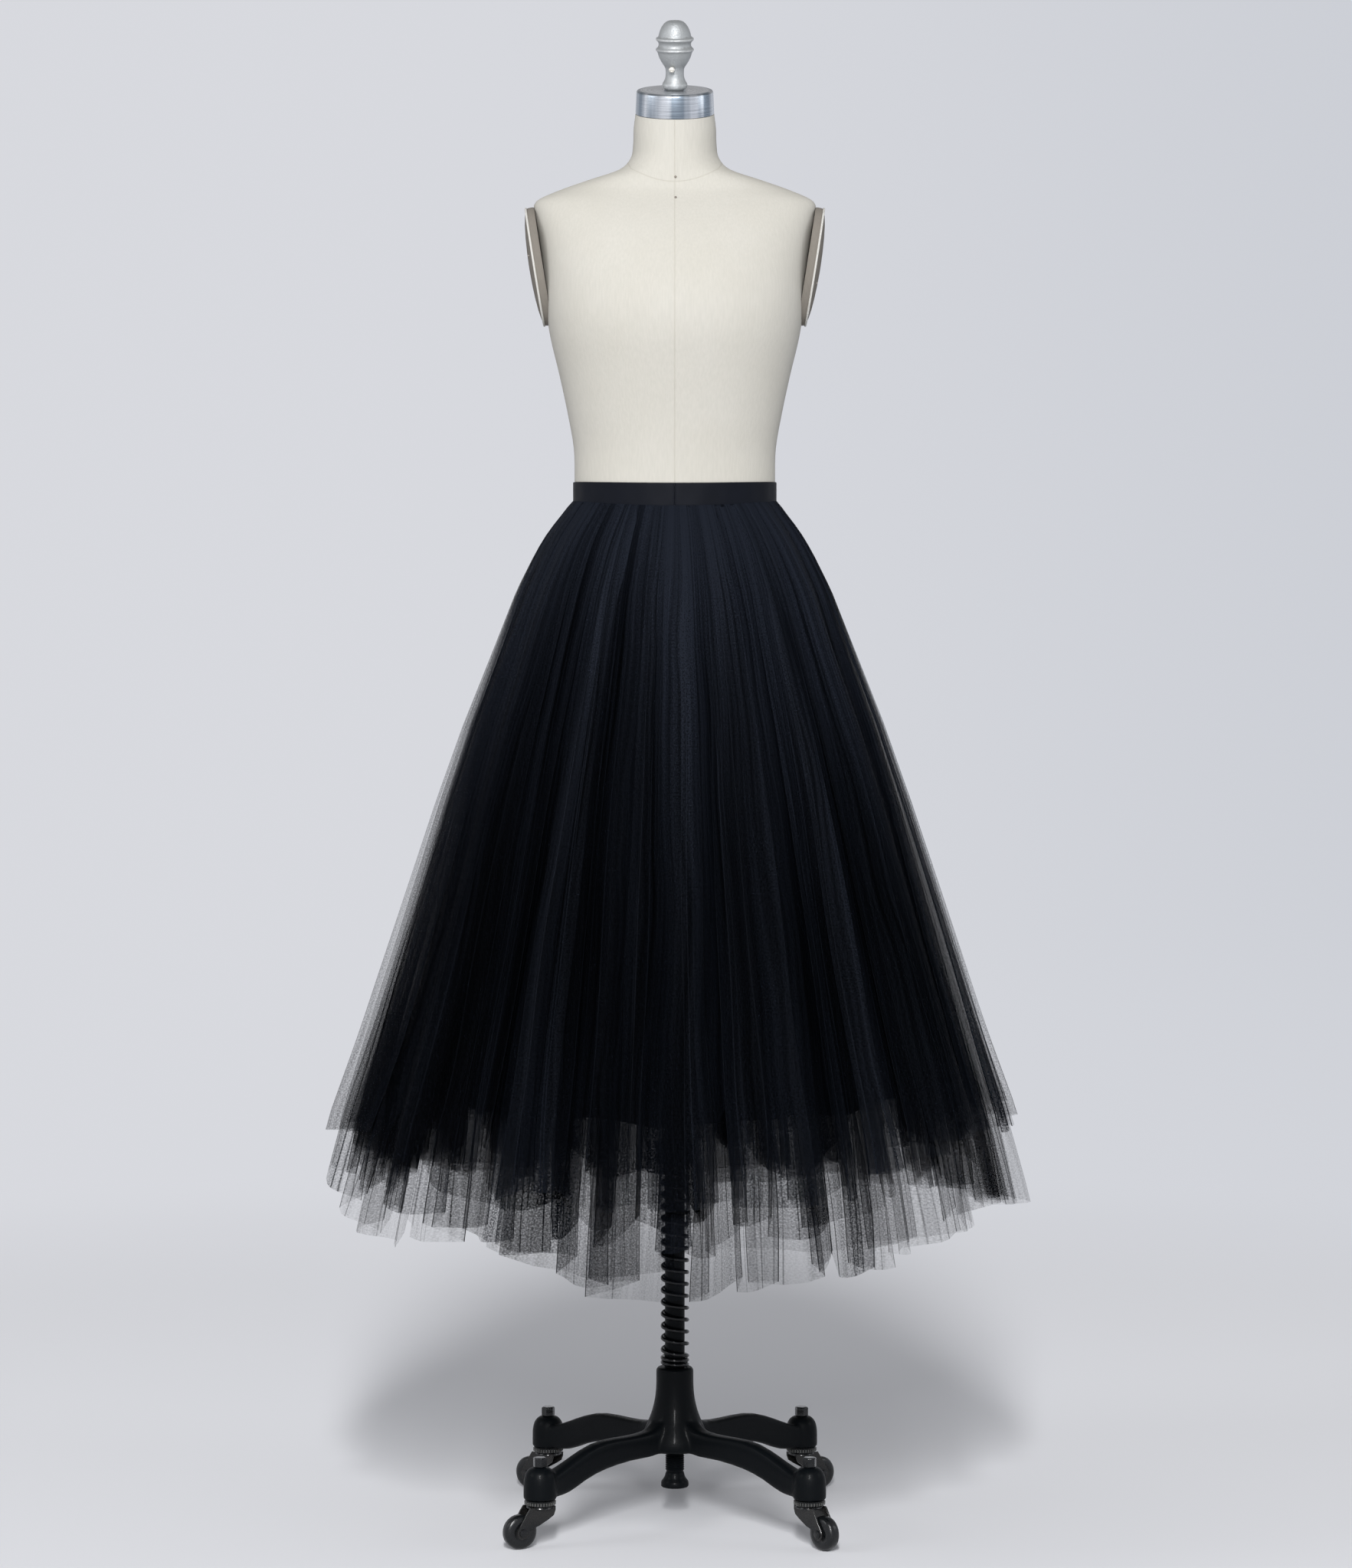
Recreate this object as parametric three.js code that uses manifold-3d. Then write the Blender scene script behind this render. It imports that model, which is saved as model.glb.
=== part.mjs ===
// A long, full tulle skirt on the limbless dress form that carries it.
// Millimetres, +Z up, the wearer faces -Y. The origin is on the floor under the pole.
import * as THREE from 'three';
import { mergeVertices } from 'three/addons/utils/BufferGeometryUtils.js';
import Module from 'manifold-3d';

const wasm = await Module();
wasm.setup();

// ---------------------------------------------------------------- driving dimensions
const gap = 0.3;             // between pieces that touch
const degree = Math.PI / 180;

// Skirt
const clothWall = 1.0;       // each layer of cloth, with its gathers pressed flat
const bandWall = 2.0;        // folded waistband
const bandHalfWidth = 121.4; // outside of the waistband, side to side
const bandHalfDepth = 92.4;  // and front to back
const bandBottom = 1211;     // lower edge at the sides and back
const bandTop = 1235;
const bandBottomDip = 7;     // the lower edge dips this far at centre front
const bandTopDip = 3;
const foldRise = 9;          // a fold's hollow hangs this much shorter than its crest

// Dress form
const neckLean = 15 * degree; // the neck's top plane tips forwards
const neckTop = { y: -12, z: 1667.3, radius: 46.3 };
const capHeight = 28;
const formBottom = 860;
const boreDepth = 60;        // the pole's socket in the underside
const plate = { halfHeight: 70, halfDepth: 48, thickness: 11, crown: 6, x: 155, z: 1490,
                tip: 9 * degree };

// Stand
const poleRadius = 12.2;
const poleBottom = 56;
const hub = { top: 182, radius: 22.2, bottom: 83 };
const spring = { wire: 4, meanRadius: 15.2, pitch: 14.1, turns: 17, bottom: hub.top + 0.3 };
const legReach = 156;        // each caster's swivel axis, along X and along Y
const legWidth = 20;
const dome = { radius: 19.4, bottom: 55.5, top: 93 };
const boltHeight = 11;
const boltRadius = 8.2;
const raceHeight = 6.4;
const wheel = { radius: 20, width: 17, bore: 3.3, sides: 18, trail: 26 };
const forkPlate = 3;
const cheek = 2.2;           // fork sheet
const cheekPlay = 0.6;       // between a cheek and the wheel

// ---------------------------------------------------------------- materials
const finish = (color, roughness, metalness = 0) => () =>
  new THREE.MeshStandardMaterial({ color, roughness, metalness });
const tulle = finish(0x14181f, 0.85);
const lining = finish(0x0a0d12, 0.8);
const bandCloth = finish(0x15181d, 0.7);
const canvas = finish(0xe4dfd0, 0.9);
const brushedSteel = finish(0x9fa6ad, 0.3, 1);
const silverPaint = finish(0xb9bfc1, 0.45, 0.7);
const blackEnamel = finish(0x15171a, 0.35, 0.3);
const blackSteel = finish(0x1c1d20, 0.3, 0.8);
const blackRubber = finish(0x191a1c, 0.6);

const part = new THREE.Group();

function add(parent, name, geometry, material) {
  const mesh = new THREE.Mesh(geometry, material());
  mesh.name = name;
  parent.add(mesh);
  return mesh;
}

// ---------------------------------------------------------------- geometry helpers
function fromPoints(points, faces) {
  const geometry = new THREE.BufferGeometry();
  geometry.setAttribute('position', new THREE.Float32BufferAttribute(points.flat(), 3));
  geometry.setIndex(faces.flat());
  return geometry;
}

// Two triangles for each cell between ring A and ring B, which start at these point numbers.
function bandFaces(startA, startB, count, closed = true) {
  const faces = [];
  for (let i = 0; i < (closed ? count : count - 1); i++) {
    const next = (i + 1) % count;
    faces.push([startA + i, startA + next, startB + next]);
    faces.push([startA + i, startB + next, startB + i]);
  }
  return faces;
}

// A solid through closed rings, lowest first, counter-clockwise seen from above.
function loft(rings) {
  const count = rings[0].length;
  const points = rings.flat();
  const faces = [];
  for (let r = 0; r + 1 < rings.length; r++) {
    faces.push(...bandFaces(r * count, (r + 1) * count, count));
  }
  const middle = (ring) => [0, 1, 2].map((k) => ring.reduce((s, p) => s + p[k], 0) / count);
  const low = points.push(middle(rings[0])) - 1;
  const high = points.push(middle(rings.at(-1))) - 1;
  const topStart = (rings.length - 1) * count;
  for (let i = 0; i < count; i++) {
    const next = (i + 1) % count;
    faces.push([low, next, i], [high, topStart + i, topStart + next]);
  }
  return fromPoints(points, faces);
}

// A cloth wall between an outer and an inner set of rings, both lowest first.
// An open wall is closed at its two upright edges.
function clothWallSolid(outer, inner, closed = true) {
  const count = outer[0].length;
  const rows = outer.length;
  const points = [...outer.flat(), ...inner.flat()];
  const inside = rows * count;
  const faces = [];
  for (let r = 0; r + 1 < rows; r++) {
    faces.push(...bandFaces(r * count, (r + 1) * count, count, closed));
    const hidden = bandFaces(inside + r * count, inside + (r + 1) * count, count, closed);
    faces.push(...hidden.map((face) => face.reverse()));
  }
  const top = (rows - 1) * count;
  faces.push(...bandFaces(inside, 0, count, closed));
  faces.push(...bandFaces(top, inside + top, count, closed));
  if (!closed) {
    for (let r = 0; r + 1 < rows; r++) {
      for (const [i, flip] of [[0, false], [count - 1, true]]) {
        const a = r * count + i;
        const b = a + count;
        const quad = flip ? [a, inside + a, inside + b, b] : [a, b, inside + b, inside + a];
        faces.push([quad[0], quad[1], quad[2]], [quad[0], quad[2], quad[3]]);
      }
    }
  }
  return fromPoints(points, faces);
}

// Moves each point of a ring inwards by the wall, square to the cloth.
function inset(ring, wall) {
  const count = ring.length;
  return ring.map((p, i) => {
    const before = ring[(i + count - 1) % count];
    const after = ring[(i + 1) % count];
    const edge = (a, b) => new THREE.Vector2(b[0] - a[0], b[1] - a[1]).normalize();
    const one = edge(before, p);
    const two = edge(p, after);
    const miter = one.clone().add(two).normalize();
    const stretch = 1 / Math.max(0.5, miter.dot(one));
    return [p[0] - miter.y * wall * stretch, p[1] + miter.x * wall * stretch, p[2]];
  });
}

const lathe = (profile, sides = 24) =>
  new THREE.LatheGeometry(profile.map(([r, z]) => new THREE.Vector2(r, z)), sides)
    .rotateX(Math.PI / 2);

function extruded(outline, depth) {
  const shape = new THREE.Shape(outline.map(([x, y]) => new THREE.Vector2(x, y)));
  return new THREE.ExtrudeGeometry(shape, { depth, bevelEnabled: false });
}

function toSolid(geometry) {
  const bare = geometry.clone();
  for (const name of ['normal', 'uv']) bare.deleteAttribute(name);
  const merged = mergeVertices(bare, 1e-4);
  return new wasm.Manifold(new wasm.Mesh({
    numProp: 3,
    vertProperties: new Float32Array(merged.attributes.position.array),
    triVerts: new Uint32Array(merged.index.array),
  }));
}

function toGeometry(solid) {
  const mesh = solid.getMesh();
  const geometry = new THREE.BufferGeometry();
  geometry.setAttribute('position', new THREE.BufferAttribute(mesh.vertProperties, 3));
  geometry.setIndex(new THREE.BufferAttribute(mesh.triVerts, 1));
  return geometry;
}

// Value at x in a table of rows, straight between rows and run on past the last.
function along(rows, column, key, x) {
  let i = 1;
  while (i < rows.length - 1 && x < rows[i][column]) i += 1;
  const [a, b] = [rows[i - 1], rows[i]];
  return a[key] + (b[key] - a[key]) * (x - a[column]) / (b[column] - a[column]);
}

const front = (t) => Math.max(0, -Math.sin(t)) ** 2;
const back = (t) => Math.max(0, Math.sin(t)) ** 2;
const left = (t) => Math.max(0, -Math.cos(t)) ** 2;
const right = (t) => Math.max(0, Math.cos(t)) ** 2;

// ---------------------------------------------------------------- skirt
// The skirt's bell, from the waist seam down: mean half width and half depth of the
// outermost layer, the depth of its folds, how far apart two layers of tulle hang, and
// how far in the lining hangs.
const bell = [
  { z: 1211, width: 127.6, depth: 98.5, fold: 0.5, layerStep: 1.4, liningIn: 7.3 },
  { z: 1110, width: 183, depth: 164, fold: 3.2, layerStep: 3.4, liningIn: 21 },
  { z: 510, width: 379, depth: 362, fold: 18, layerStep: 10, liningIn: 66 },
  { z: 320, width: 439, depth: 420, fold: 23, layerStep: 14, liningIn: 90 },
];

// One run of pressed and gathered folds. It goes round the skirt twice.
const folds = [
  { width: 1.0, depth: 1.0, drop: 4 },
  { width: 0.8, depth: 0.7, drop: -8 },
  { width: 1.3, depth: 1.05, drop: 9 },
  { width: 0.9, depth: 0.8, drop: -3 },
  { width: 0.7, depth: 0.65, drop: 12 },
  { width: 1.2, depth: 1.1, drop: -6 },
  { width: 1.0, depth: 0.75, drop: 0 },
  { width: 0.75, depth: 0.9, drop: -11 },
  { width: 1.25, depth: 1.0, drop: 7 },
  { width: 0.95, depth: 0.8, drop: -2 },
];
// Where a fold's crest and hollow start and end, as shares of its width.
const foldShape = [
  { share: 0.12, crest: 1 },
  { share: 0.42, crest: 1 },
  { share: 0.60, crest: -1 },
  { share: 0.94, crest: -1 },
];

// The lining only ripples: one point on each crest and one in each hollow.
const rippleShape = [
  { share: 0.27, crest: 1 },
  { share: 0.77, crest: -1 },
];

// Layers from the outermost in: hem height at the left, front, right and back.
const layers = [
  { name: 'tulle_layer_5', left: 472, front: 428, right: 492, back: 446, foldFactor: 1 },
  { name: 'tulle_layer_4', left: 410, front: 356, right: 382, back: 372, foldFactor: 0.98 },
  { name: 'tulle_layer_3', left: 382, front: 332, right: 376, back: 350, foldFactor: 0.96 },
  { name: 'tulle_layer_2', left: 428, front: 392, right: 420, back: 400, foldFactor: 0.94 },
  { name: 'tulle_layer_1', left: 462, front: 448, right: 458, back: 448, foldFactor: 0.92 },
  { name: 'lining', left: 505, front: 494, right: 501, back: 497, foldFactor: 0.2 },
];
const shift = [0, 1, -1, 2, -2, 0];   // folds' drops are taken this many rows on, layer by layer

const bandEdge = (t, height, dip) => height - dip * front(t);

function foldColumns(shape) {
  const round = [...folds, ...folds];
  const total = round.reduce((sum, fold) => sum + fold.width, 0);
  const columns = [];
  let start = 0;
  round.forEach((fold, index) => {
    for (const { share, crest } of shape) {
      const t = 2 * Math.PI * (start + share * fold.width) / total;
      columns.push({ t, index, crest, wave: crest * fold.depth });
    }
    start += fold.width;
  });
  return columns;
}

function layerRing(layer, number, columns, heightAt) {
  return columns.map((column) => {
    const { t, wave } = column;
    const z = heightAt(column);
    const inwards = layer.name === 'lining' ? along(bell, 'z', 'liningIn', z)
      : number * along(bell, 'z', 'layerStep', z);
    const a = along(bell, 'z', 'width', z) - inwards;
    const b = along(bell, 'z', 'depth', z) - inwards;
    const out = along(bell, 'z', 'fold', z) * wave * layer.foldFactor;
    const normal = new THREE.Vector2(Math.cos(t) / a, Math.sin(t) / b).normalize();
    return [a * Math.cos(t) + out * normal.x, b * Math.sin(t) + out * normal.y, z];
  });
}

function clothLayer(layer, number) {
  const columns = foldColumns(layer.name === 'lining' ? rippleShape : foldShape);
  const hem = ({ t, index, crest }) => {
    const drop = folds[(index + shift[number] + folds.length) % folds.length].drop;
    return layer.left * left(t) + layer.front * front(t) + layer.right * right(t)
      + layer.back * back(t) - drop + (crest < 0 ? foldRise : 0);
  };
  const seam = ({ t }) => bandEdge(t, bandBottom, bandBottomDip) - gap;
  const rings = [
    layerRing(layer, number, columns, hem),
    ...bell.slice(1, -1).reverse().map(({ z }) => layerRing(layer, number, columns, () => z)),
    layerRing(layer, number, columns, seam),
  ];
  return clothWallSolid(rings, rings.map((ring) => inset(ring, clothWall)));
}

const skirt = new THREE.Group();
part.add(skirt);
layers.forEach((layer, number) =>
  add(skirt, layer.name, clothLayer(layer, number), layer.name === 'lining' ? lining : tulle));

// The waistband is two halves, seamed at centre front and closed at centre back.
function waistbandHalf(side) {
  const steps = 18;
  const slit = gap / 2 / bandHalfWidth;
  const from = side < 0 ? Math.PI / 2 : -Math.PI / 2;
  const ring = (height, dip, shrink) => {
    const points = [];
    for (let i = 0; i <= steps; i++) {
      const t = from + slit + (Math.PI - 2 * slit) * i / steps;
      const a = bandHalfWidth - shrink;
      const b = bandHalfDepth - shrink;
      points.push([a * Math.cos(t), b * Math.sin(t), bandEdge(t, height, dip)]);
    }
    return points;
  };
  const rows = (shrink) =>
    [ring(bandBottom, bandBottomDip, shrink), ring(bandTop, bandTopDip, shrink)];
  return clothWallSolid(rows(0), rows(bandWall), false);
}
add(skirt, 'waistband_left', waistbandHalf(-1), bandCloth);
add(skirt, 'waistband_right', waistbandHalf(1), bandCloth);

// ---------------------------------------------------------------- dress form
const form = new THREE.Group();
part.add(form);

// Level sections through the torso, from its underside up: half width, depth to the
// front and to the back of the middle, and the corner power of the outline.
const torsoSections = [
  { z: formBottom, width: 150, front: 98, back: 108, power: 2.1 },
  { z: 905, width: 158, front: 104, back: 117, power: 2.1 },
  { z: 1000, width: 166, front: 112, back: 126, power: 2.1 },
  { z: 1060, width: 160, front: 111, back: 122, power: 2.1 },
  { z: 1110, width: 147, front: 105, back: 113, power: 2.1 },
  { z: 1160, width: 130, front: 96, back: 100, power: 2.05 },
  { z: 1202, width: 118.6, front: 89.6, back: 89.6, power: 2 },
  { z: 1238, width: 118.6, front: 89.6, back: 89.6, power: 2 },
  { z: 1275, width: 119.5, front: 93, back: 91, power: 2 },
  { z: 1318, width: 127, front: 101, back: 95, power: 2.1 },
  { z: 1362, width: 136.5, front: 113, back: 101, power: 2.15 },
  { z: 1406, width: 147, front: 125, back: 106, power: 2.2 },
  { z: 1440, width: 152, front: 127, back: 109, power: 2.25 },
  { z: 1480, width: 155, front: 119, back: 111, power: 2.3 },
  { z: 1520, width: 160, front: 101, back: 107, power: 2.3 },
  { z: 1548, width: 165, front: 82, back: 95, power: 2.3 },
  { z: 1565, width: 164, front: 68, back: 82, power: 2.2 },
  { z: 1577, width: 140, front: 60, back: 72, power: 2.1 },
  { z: 1590, width: 106, front: 55, back: 65, power: 2.1 },
  { z: 1602, width: 78, front: 54, back: 60, power: 2 },
];
// Round sections up the leaning neck.
const neckSections = [
  { z: 1616, radius: 57, y: -1, lean: 3 * degree },
  { z: 1632, radius: 51, y: -4, lean: 8 * degree },
  { z: 1650, radius: 48, y: -8, lean: 12 * degree },
  { z: neckTop.z, radius: neckTop.radius, y: neckTop.y, lean: neckLean },
];
const torsoSides = 26;

const angles = Array.from({ length: torsoSides }, (_, i) => 2 * Math.PI * i / torsoSides);
const rounded = (value, power) => Math.sign(value) * Math.abs(value) ** (2 / power);

function torsoSolid() {
  const rings = torsoSections.map(({ z, width, front: ahead, back: behind, power }) =>
    angles.map((t) => {
      const depth = Math.sin(t) < 0 ? ahead : behind;
      return [width * rounded(Math.cos(t), power), depth * rounded(Math.sin(t), power), z];
    }));
  for (const { z, radius, y, lean } of neckSections) {
    rings.push(angles.map((t) => {
      const ahead = radius * Math.sin(t);
      return [radius * Math.cos(t), y + ahead * Math.cos(lean), z + ahead * Math.sin(lean)];
    }));
  }
  return toSolid(loft(rings));
}

// An oval arm plate, flat inside and crowned outside, lying across its own Z axis.
function platePoints(halfHeight, halfDepth, z) {
  const sides = 20;
  return Array.from({ length: sides }, (_, i) => {
    const t = 2 * Math.PI * i / sides;
    return [halfHeight * Math.cos(t), halfDepth * Math.sin(t), z];
  });
}

function armPlate() {
  const { halfHeight, halfDepth, thickness, crown } = plate;
  return loft([
    platePoints(halfHeight, halfDepth, 0),
    platePoints(halfHeight, halfDepth, thickness * 0.8),
    platePoints(halfHeight * 0.95, halfDepth * 0.93, thickness),
    platePoints(halfHeight * 0.6, halfDepth * 0.58, thickness + crown * 0.75),
    platePoints(halfHeight * 0.2, halfDepth * 0.2, thickness + crown),
  ]);
}

// The plates' place: their own +Z points out of the shoulder and a little down.
function platePlace(side) {
  const place = new THREE.Matrix4().makeTranslation(side * plate.x, 0, plate.z);
  return place.multiply(new THREE.Matrix4().makeRotationY(side * (Math.PI / 2 + plate.tip)));
}

function armholeCutter(side) {
  const room = gap + 0.2;
  const cutter = loft([
    platePoints(plate.halfHeight + room, plate.halfDepth + room, -gap),
    platePoints(plate.halfHeight + room, plate.halfDepth + room, 60),
  ]);
  return toSolid(cutter.applyMatrix4(platePlace(side)));
}

const boreRadius = poleRadius + gap;
const bore = toSolid(new THREE.CylinderGeometry(boreRadius, boreRadius, boreDepth + 10, 24)
  .rotateX(Math.PI / 2).translate(0, 0, formBottom + (boreDepth - 10) / 2));
const torso = torsoSolid().subtract(bore).subtract(armholeCutter(-1)).subtract(armholeCutter(1));
add(form, 'form_torso', toGeometry(torso), canvas);
for (const [name, side] of [['arm_plate_left', -1], ['arm_plate_right', 1]]) {
  add(form, name, armPlate(), canvas).applyMatrix4(platePlace(side));
}

const flange = { radius: 48, height: 12, chamfer: 3 };
add(form, 'form_flange', lathe([
  [boreRadius, 0], [flange.radius - flange.chamfer, 0], [flange.radius, flange.chamfer],
  [flange.radius, flange.height], [boreRadius, flange.height], [boreRadius, 0],
], 20), blackSteel).position.z = formBottom - gap - flange.height;

// Steel cap and turned finial, both square to the leaning top of the neck.
const head = new THREE.Group();
head.position.set(0, neckTop.y, neckTop.z);
head.rotation.x = neckLean;
form.add(head);
const capRadius = neckTop.radius;
const capTaper = 1.2;
add(head, 'neck_cap', lathe([
  [0, gap], [capRadius - 0.5, gap], [capRadius, 1.5], [capRadius - capTaper, capHeight - 2],
  [capRadius - capTaper - 1.8, capHeight], [0, capHeight],
], 32), brushedSteel);

// Radius and height of the finial above its seat.
const finialProfile = [
  [0, 0], [6, 0], [6, 3], [11.8, 4], [14.9, 6.5], [14.9, 9.5], [12.2, 14], [11, 18.5],
  [11.7, 27], [14.3, 32.5], [16.4, 37], [18.3, 41.5], [20.8, 45.5], [22.3, 48.5], [21, 50.5],
  [19.3, 52.5], [19.3, 57], [21, 59.5], [22.3, 61.5], [21.4, 63.5], [18.9, 65.5],
  [18.5, 69], [16.6, 76], [12.9, 82], [8, 85], [0, 85.8],
];
add(head, 'finial', lathe(finialProfile, 12), silverPaint).position.z = capHeight + gap;
const screw = { radius: 3.4, length: 5, x: -3.5, z: 25.5, seat: 11.75 };
const finialScrew = add(head, 'finial_screw',
  lathe([[0, 0], [screw.radius, 0], [screw.radius, 3], [1.8, screw.length],
    [0, screw.length]], 8), silverPaint);
finialScrew.position.set(screw.x, -screw.seat - gap, capHeight + screw.z);
finialScrew.rotation.x = Math.PI / 2;

// ---------------------------------------------------------------- pole and spring
const stand = new THREE.Group();
part.add(stand);
const poleTop = formBottom + boreDepth - gap;
add(stand, 'pole', lathe([
  [0, poleBottom + gap], [10, poleBottom + gap], [11.6, hub.bottom - 3],
  [poleRadius, hub.bottom + 2], [poleRadius, poleTop - 2], [poleRadius - 2, poleTop],
  [0, poleTop],
], 16), blackEnamel);

const foot = { bottom: 37.5, rim: 16.5, neck: 10.5 };
add(stand, 'pole_foot', lathe([
  [0, foot.bottom], [foot.rim - 2, foot.bottom], [foot.rim, foot.bottom + 2.5],
  [foot.rim - 0.5, foot.bottom + 7], [foot.neck + 1.5, poleBottom - 4],
  [foot.neck, poleBottom], [0, poleBottom],
], 16), blackEnamel);

// An open coil spring, wound left-handed, standing on the hub round the pole.
function coil() {
  const { wire, meanRadius, pitch, turns, bottom } = spring;
  const perTurn = 10;
  const section = 4;
  const steps = turns * perTurn;
  const rings = [];
  for (let i = 0; i <= steps; i++) {
    const turn = -2 * Math.PI * i / perTurn;
    const z = bottom + wire / 2 + pitch * i / perTurn;
    const ring = [];
    for (let k = 0; k < section; k++) {
      const around = 2 * Math.PI * k / section;
      const r = meanRadius + wire / 2 * Math.cos(around);
      ring.push([r * Math.cos(turn), r * Math.sin(turn), z + wire / 2 * Math.sin(around)]);
    }
    rings.push(ring);
  }
  return loft(rings);
}
const springTop = spring.bottom + spring.wire + spring.pitch * spring.turns;
add(stand, 'spring', coil(), blackSteel);

const collar = { radius: 23, height: 26, chamfer: 2 };
add(stand, 'spring_collar', lathe([
  [boreRadius, 0], [collar.radius - collar.chamfer, 0], [collar.radius, collar.chamfer],
  [collar.radius, collar.height - collar.chamfer],
  [collar.radius - collar.chamfer, collar.height], [boreRadius, collar.height],
  [boreRadius, 0],
], 16), blackEnamel).position.z = springTop + gap;

// ---------------------------------------------------------------- base casting
const casterReach = legReach * Math.SQRT2;
// Upper and lower edge of a leg, outwards from the hub's axis.
const legEdges = [
  { reach: 14, top: 150, bottom: hub.bottom },
  { reach: 24, top: 132, bottom: hub.bottom },
  { reach: 33, top: 117, bottom: 82.5 },
  { reach: 48, top: 110, bottom: 80.5 },
  { reach: 80, top: 109.5, bottom: 80 },
  { reach: 120, top: 110, bottom: 76 },
  { reach: 152, top: 103, bottom: 68 },
  { reach: 180, top: 92.5, bottom: 57.5 },
  { reach: 205, top: 84, bottom: dome.bottom },
  { reach: casterReach, top: 80, bottom: dome.bottom },
];
const legTurns = [45, 135, 225, 315].map((turn) => turn * degree);

function legSolid(turn) {
  const outline = [
    ...legEdges.map(({ reach, bottom }) => [reach, bottom]),
    ...[...legEdges].reverse().map(({ reach, top }) => [reach, top]),
  ];
  const leg = extruded(outline, legWidth).rotateX(Math.PI / 2)
    .translate(0, legWidth / 2, 0).rotateZ(turn);
  return toSolid(leg);
}

function baseSolid() {
  let casting = toSolid(lathe([
    [0, hub.bottom], [26, hub.bottom], [30, 90], [28, 112], [24.5, 128], [hub.radius, 147],
    [hub.radius, hub.top - 2], [hub.radius - 2, hub.top], [0, hub.top],
  ]));
  for (const turn of legTurns) {
    const boss = lathe([
      [0, dome.bottom], [dome.radius, dome.bottom], [dome.radius - 0.4, 79],
      [dome.radius - 3.5, 87.5], [10, dome.top], [0, dome.top],
    ], 16).translate(casterReach * Math.cos(turn), casterReach * Math.sin(turn), 0);
    casting = casting.add(legSolid(turn)).add(toSolid(boss));
  }
  const shaft = new THREE.CylinderGeometry(boreRadius, boreRadius, 200, 24)
    .rotateX(Math.PI / 2).translate(0, 0, hub.bottom + 60);
  return casting.subtract(toSolid(shaft));
}
const base = new THREE.Group();
part.add(base);
add(base, 'base_casting', toGeometry(baseSolid()), blackEnamel);

// ---------------------------------------------------------------- casters
// Each caster's corner and the way its wheel trails, in degrees from +X.
const casters = [
  { name: 'rear_right', corner: 45, trails: 33 },
  { name: 'rear_left', corner: 135, trails: 146 },
  { name: 'front_left', corner: 225, trails: 206 },
  { name: 'front_right', corner: 315, trails: 310 },
];
const raceTop = dome.bottom - gap;
const raceBottom = raceTop - raceHeight;
const forkTop = raceBottom - gap;
const forkInside = wheel.width / 2 + cheekPlay;
const axleRadius = wheel.bore - gap;
const axleEye = 7.5;          // rounded lower end of a cheek

// A cheek's outline in the fork's own plane: along the trail, and height over the floor.
function cheekOutline() {
  const outline = [[-13, forkTop - 9], [-15, forkTop], [17, forkTop]];
  for (let turn = 10; turn >= -200; turn -= 52.5) {
    outline.push([wheel.trail + axleEye * Math.cos(turn * degree),
      wheel.radius + axleEye * Math.sin(turn * degree)]);
  }
  return outline.reverse();
}

function forkSolid() {
  let fork = toSolid(lathe([
    [0, forkTop - forkPlate], [15.5, forkTop - forkPlate], [16.5, forkTop - 1.5],
    [15.8, forkTop], [0, forkTop],
  ], 12));
  for (const side of [-1, 1]) {
    const middle = side * (forkInside + cheek / 2);
    const sheet = extruded(cheekOutline(), cheek).rotateX(Math.PI / 2)
      .translate(0, middle + cheek / 2, 0);
    fork = fork.add(toSolid(sheet));
  }
  const bridge = new THREE.BoxGeometry(26, 2 * forkInside + cheek, forkPlate)
    .translate(-1, 0, forkTop - forkPlate / 2);
  const axle = new THREE.CylinderGeometry(axleRadius, axleRadius, 2 * (forkInside + cheek + 1.5), 8)
    .translate(wheel.trail, 0, wheel.radius);
  return fork.add(toSolid(bridge)).add(toSolid(axle));
}

// The tread is faceted with one flat facing the floor.
function wheelGeometry() {
  const tread = wheel.radius / Math.cos(Math.PI / wheel.sides);
  const half = wheel.width / 2;
  return new THREE.LatheGeometry([
    [wheel.bore, -half], [9, -half], [tread - 3.5, -half + 1.5], [tread, -half + 5.5],
    [tread, half - 5.5], [tread - 3.5, half - 1.5], [9, half], [wheel.bore, half],
    [wheel.bore, -half],
  ].map(([r, y]) => new THREE.Vector2(r, y)), wheel.sides).rotateY(Math.PI / wheel.sides);
}

for (const { name, corner, trails } of casters) {
  const caster = new THREE.Group();
  caster.position.set(casterReach * Math.cos(corner * degree),
    casterReach * Math.sin(corner * degree), 0);
  base.add(caster);
  const bolt = new THREE.CylinderGeometry(boltRadius, boltRadius, boltHeight, 6)
    .rotateX(Math.PI / 2).translate(0, 0, dome.top + gap + boltHeight / 2);
  add(caster, `caster_bolt_${name}`, bolt, blackSteel);
  add(caster, `caster_race_${name}`, lathe([
    [0, raceBottom], [16.5, raceBottom], [18.4, raceBottom + 2], [18.4, raceTop - 2],
    [17, raceTop], [0, raceTop],
  ], 12), blackSteel);
  const swivel = new THREE.Group();
  swivel.rotation.z = trails * degree;
  caster.add(swivel);
  add(swivel, `caster_fork_${name}`, toGeometry(forkSolid()), blackSteel);
  add(swivel, `caster_wheel_${name}`, wheelGeometry(), blackRubber)
    .position.set(wheel.trail, 0, wheel.radius);
}

export default part;
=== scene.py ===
import math
import random

import bpy
import numpy as np
from mathutils import Matrix, Vector


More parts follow.
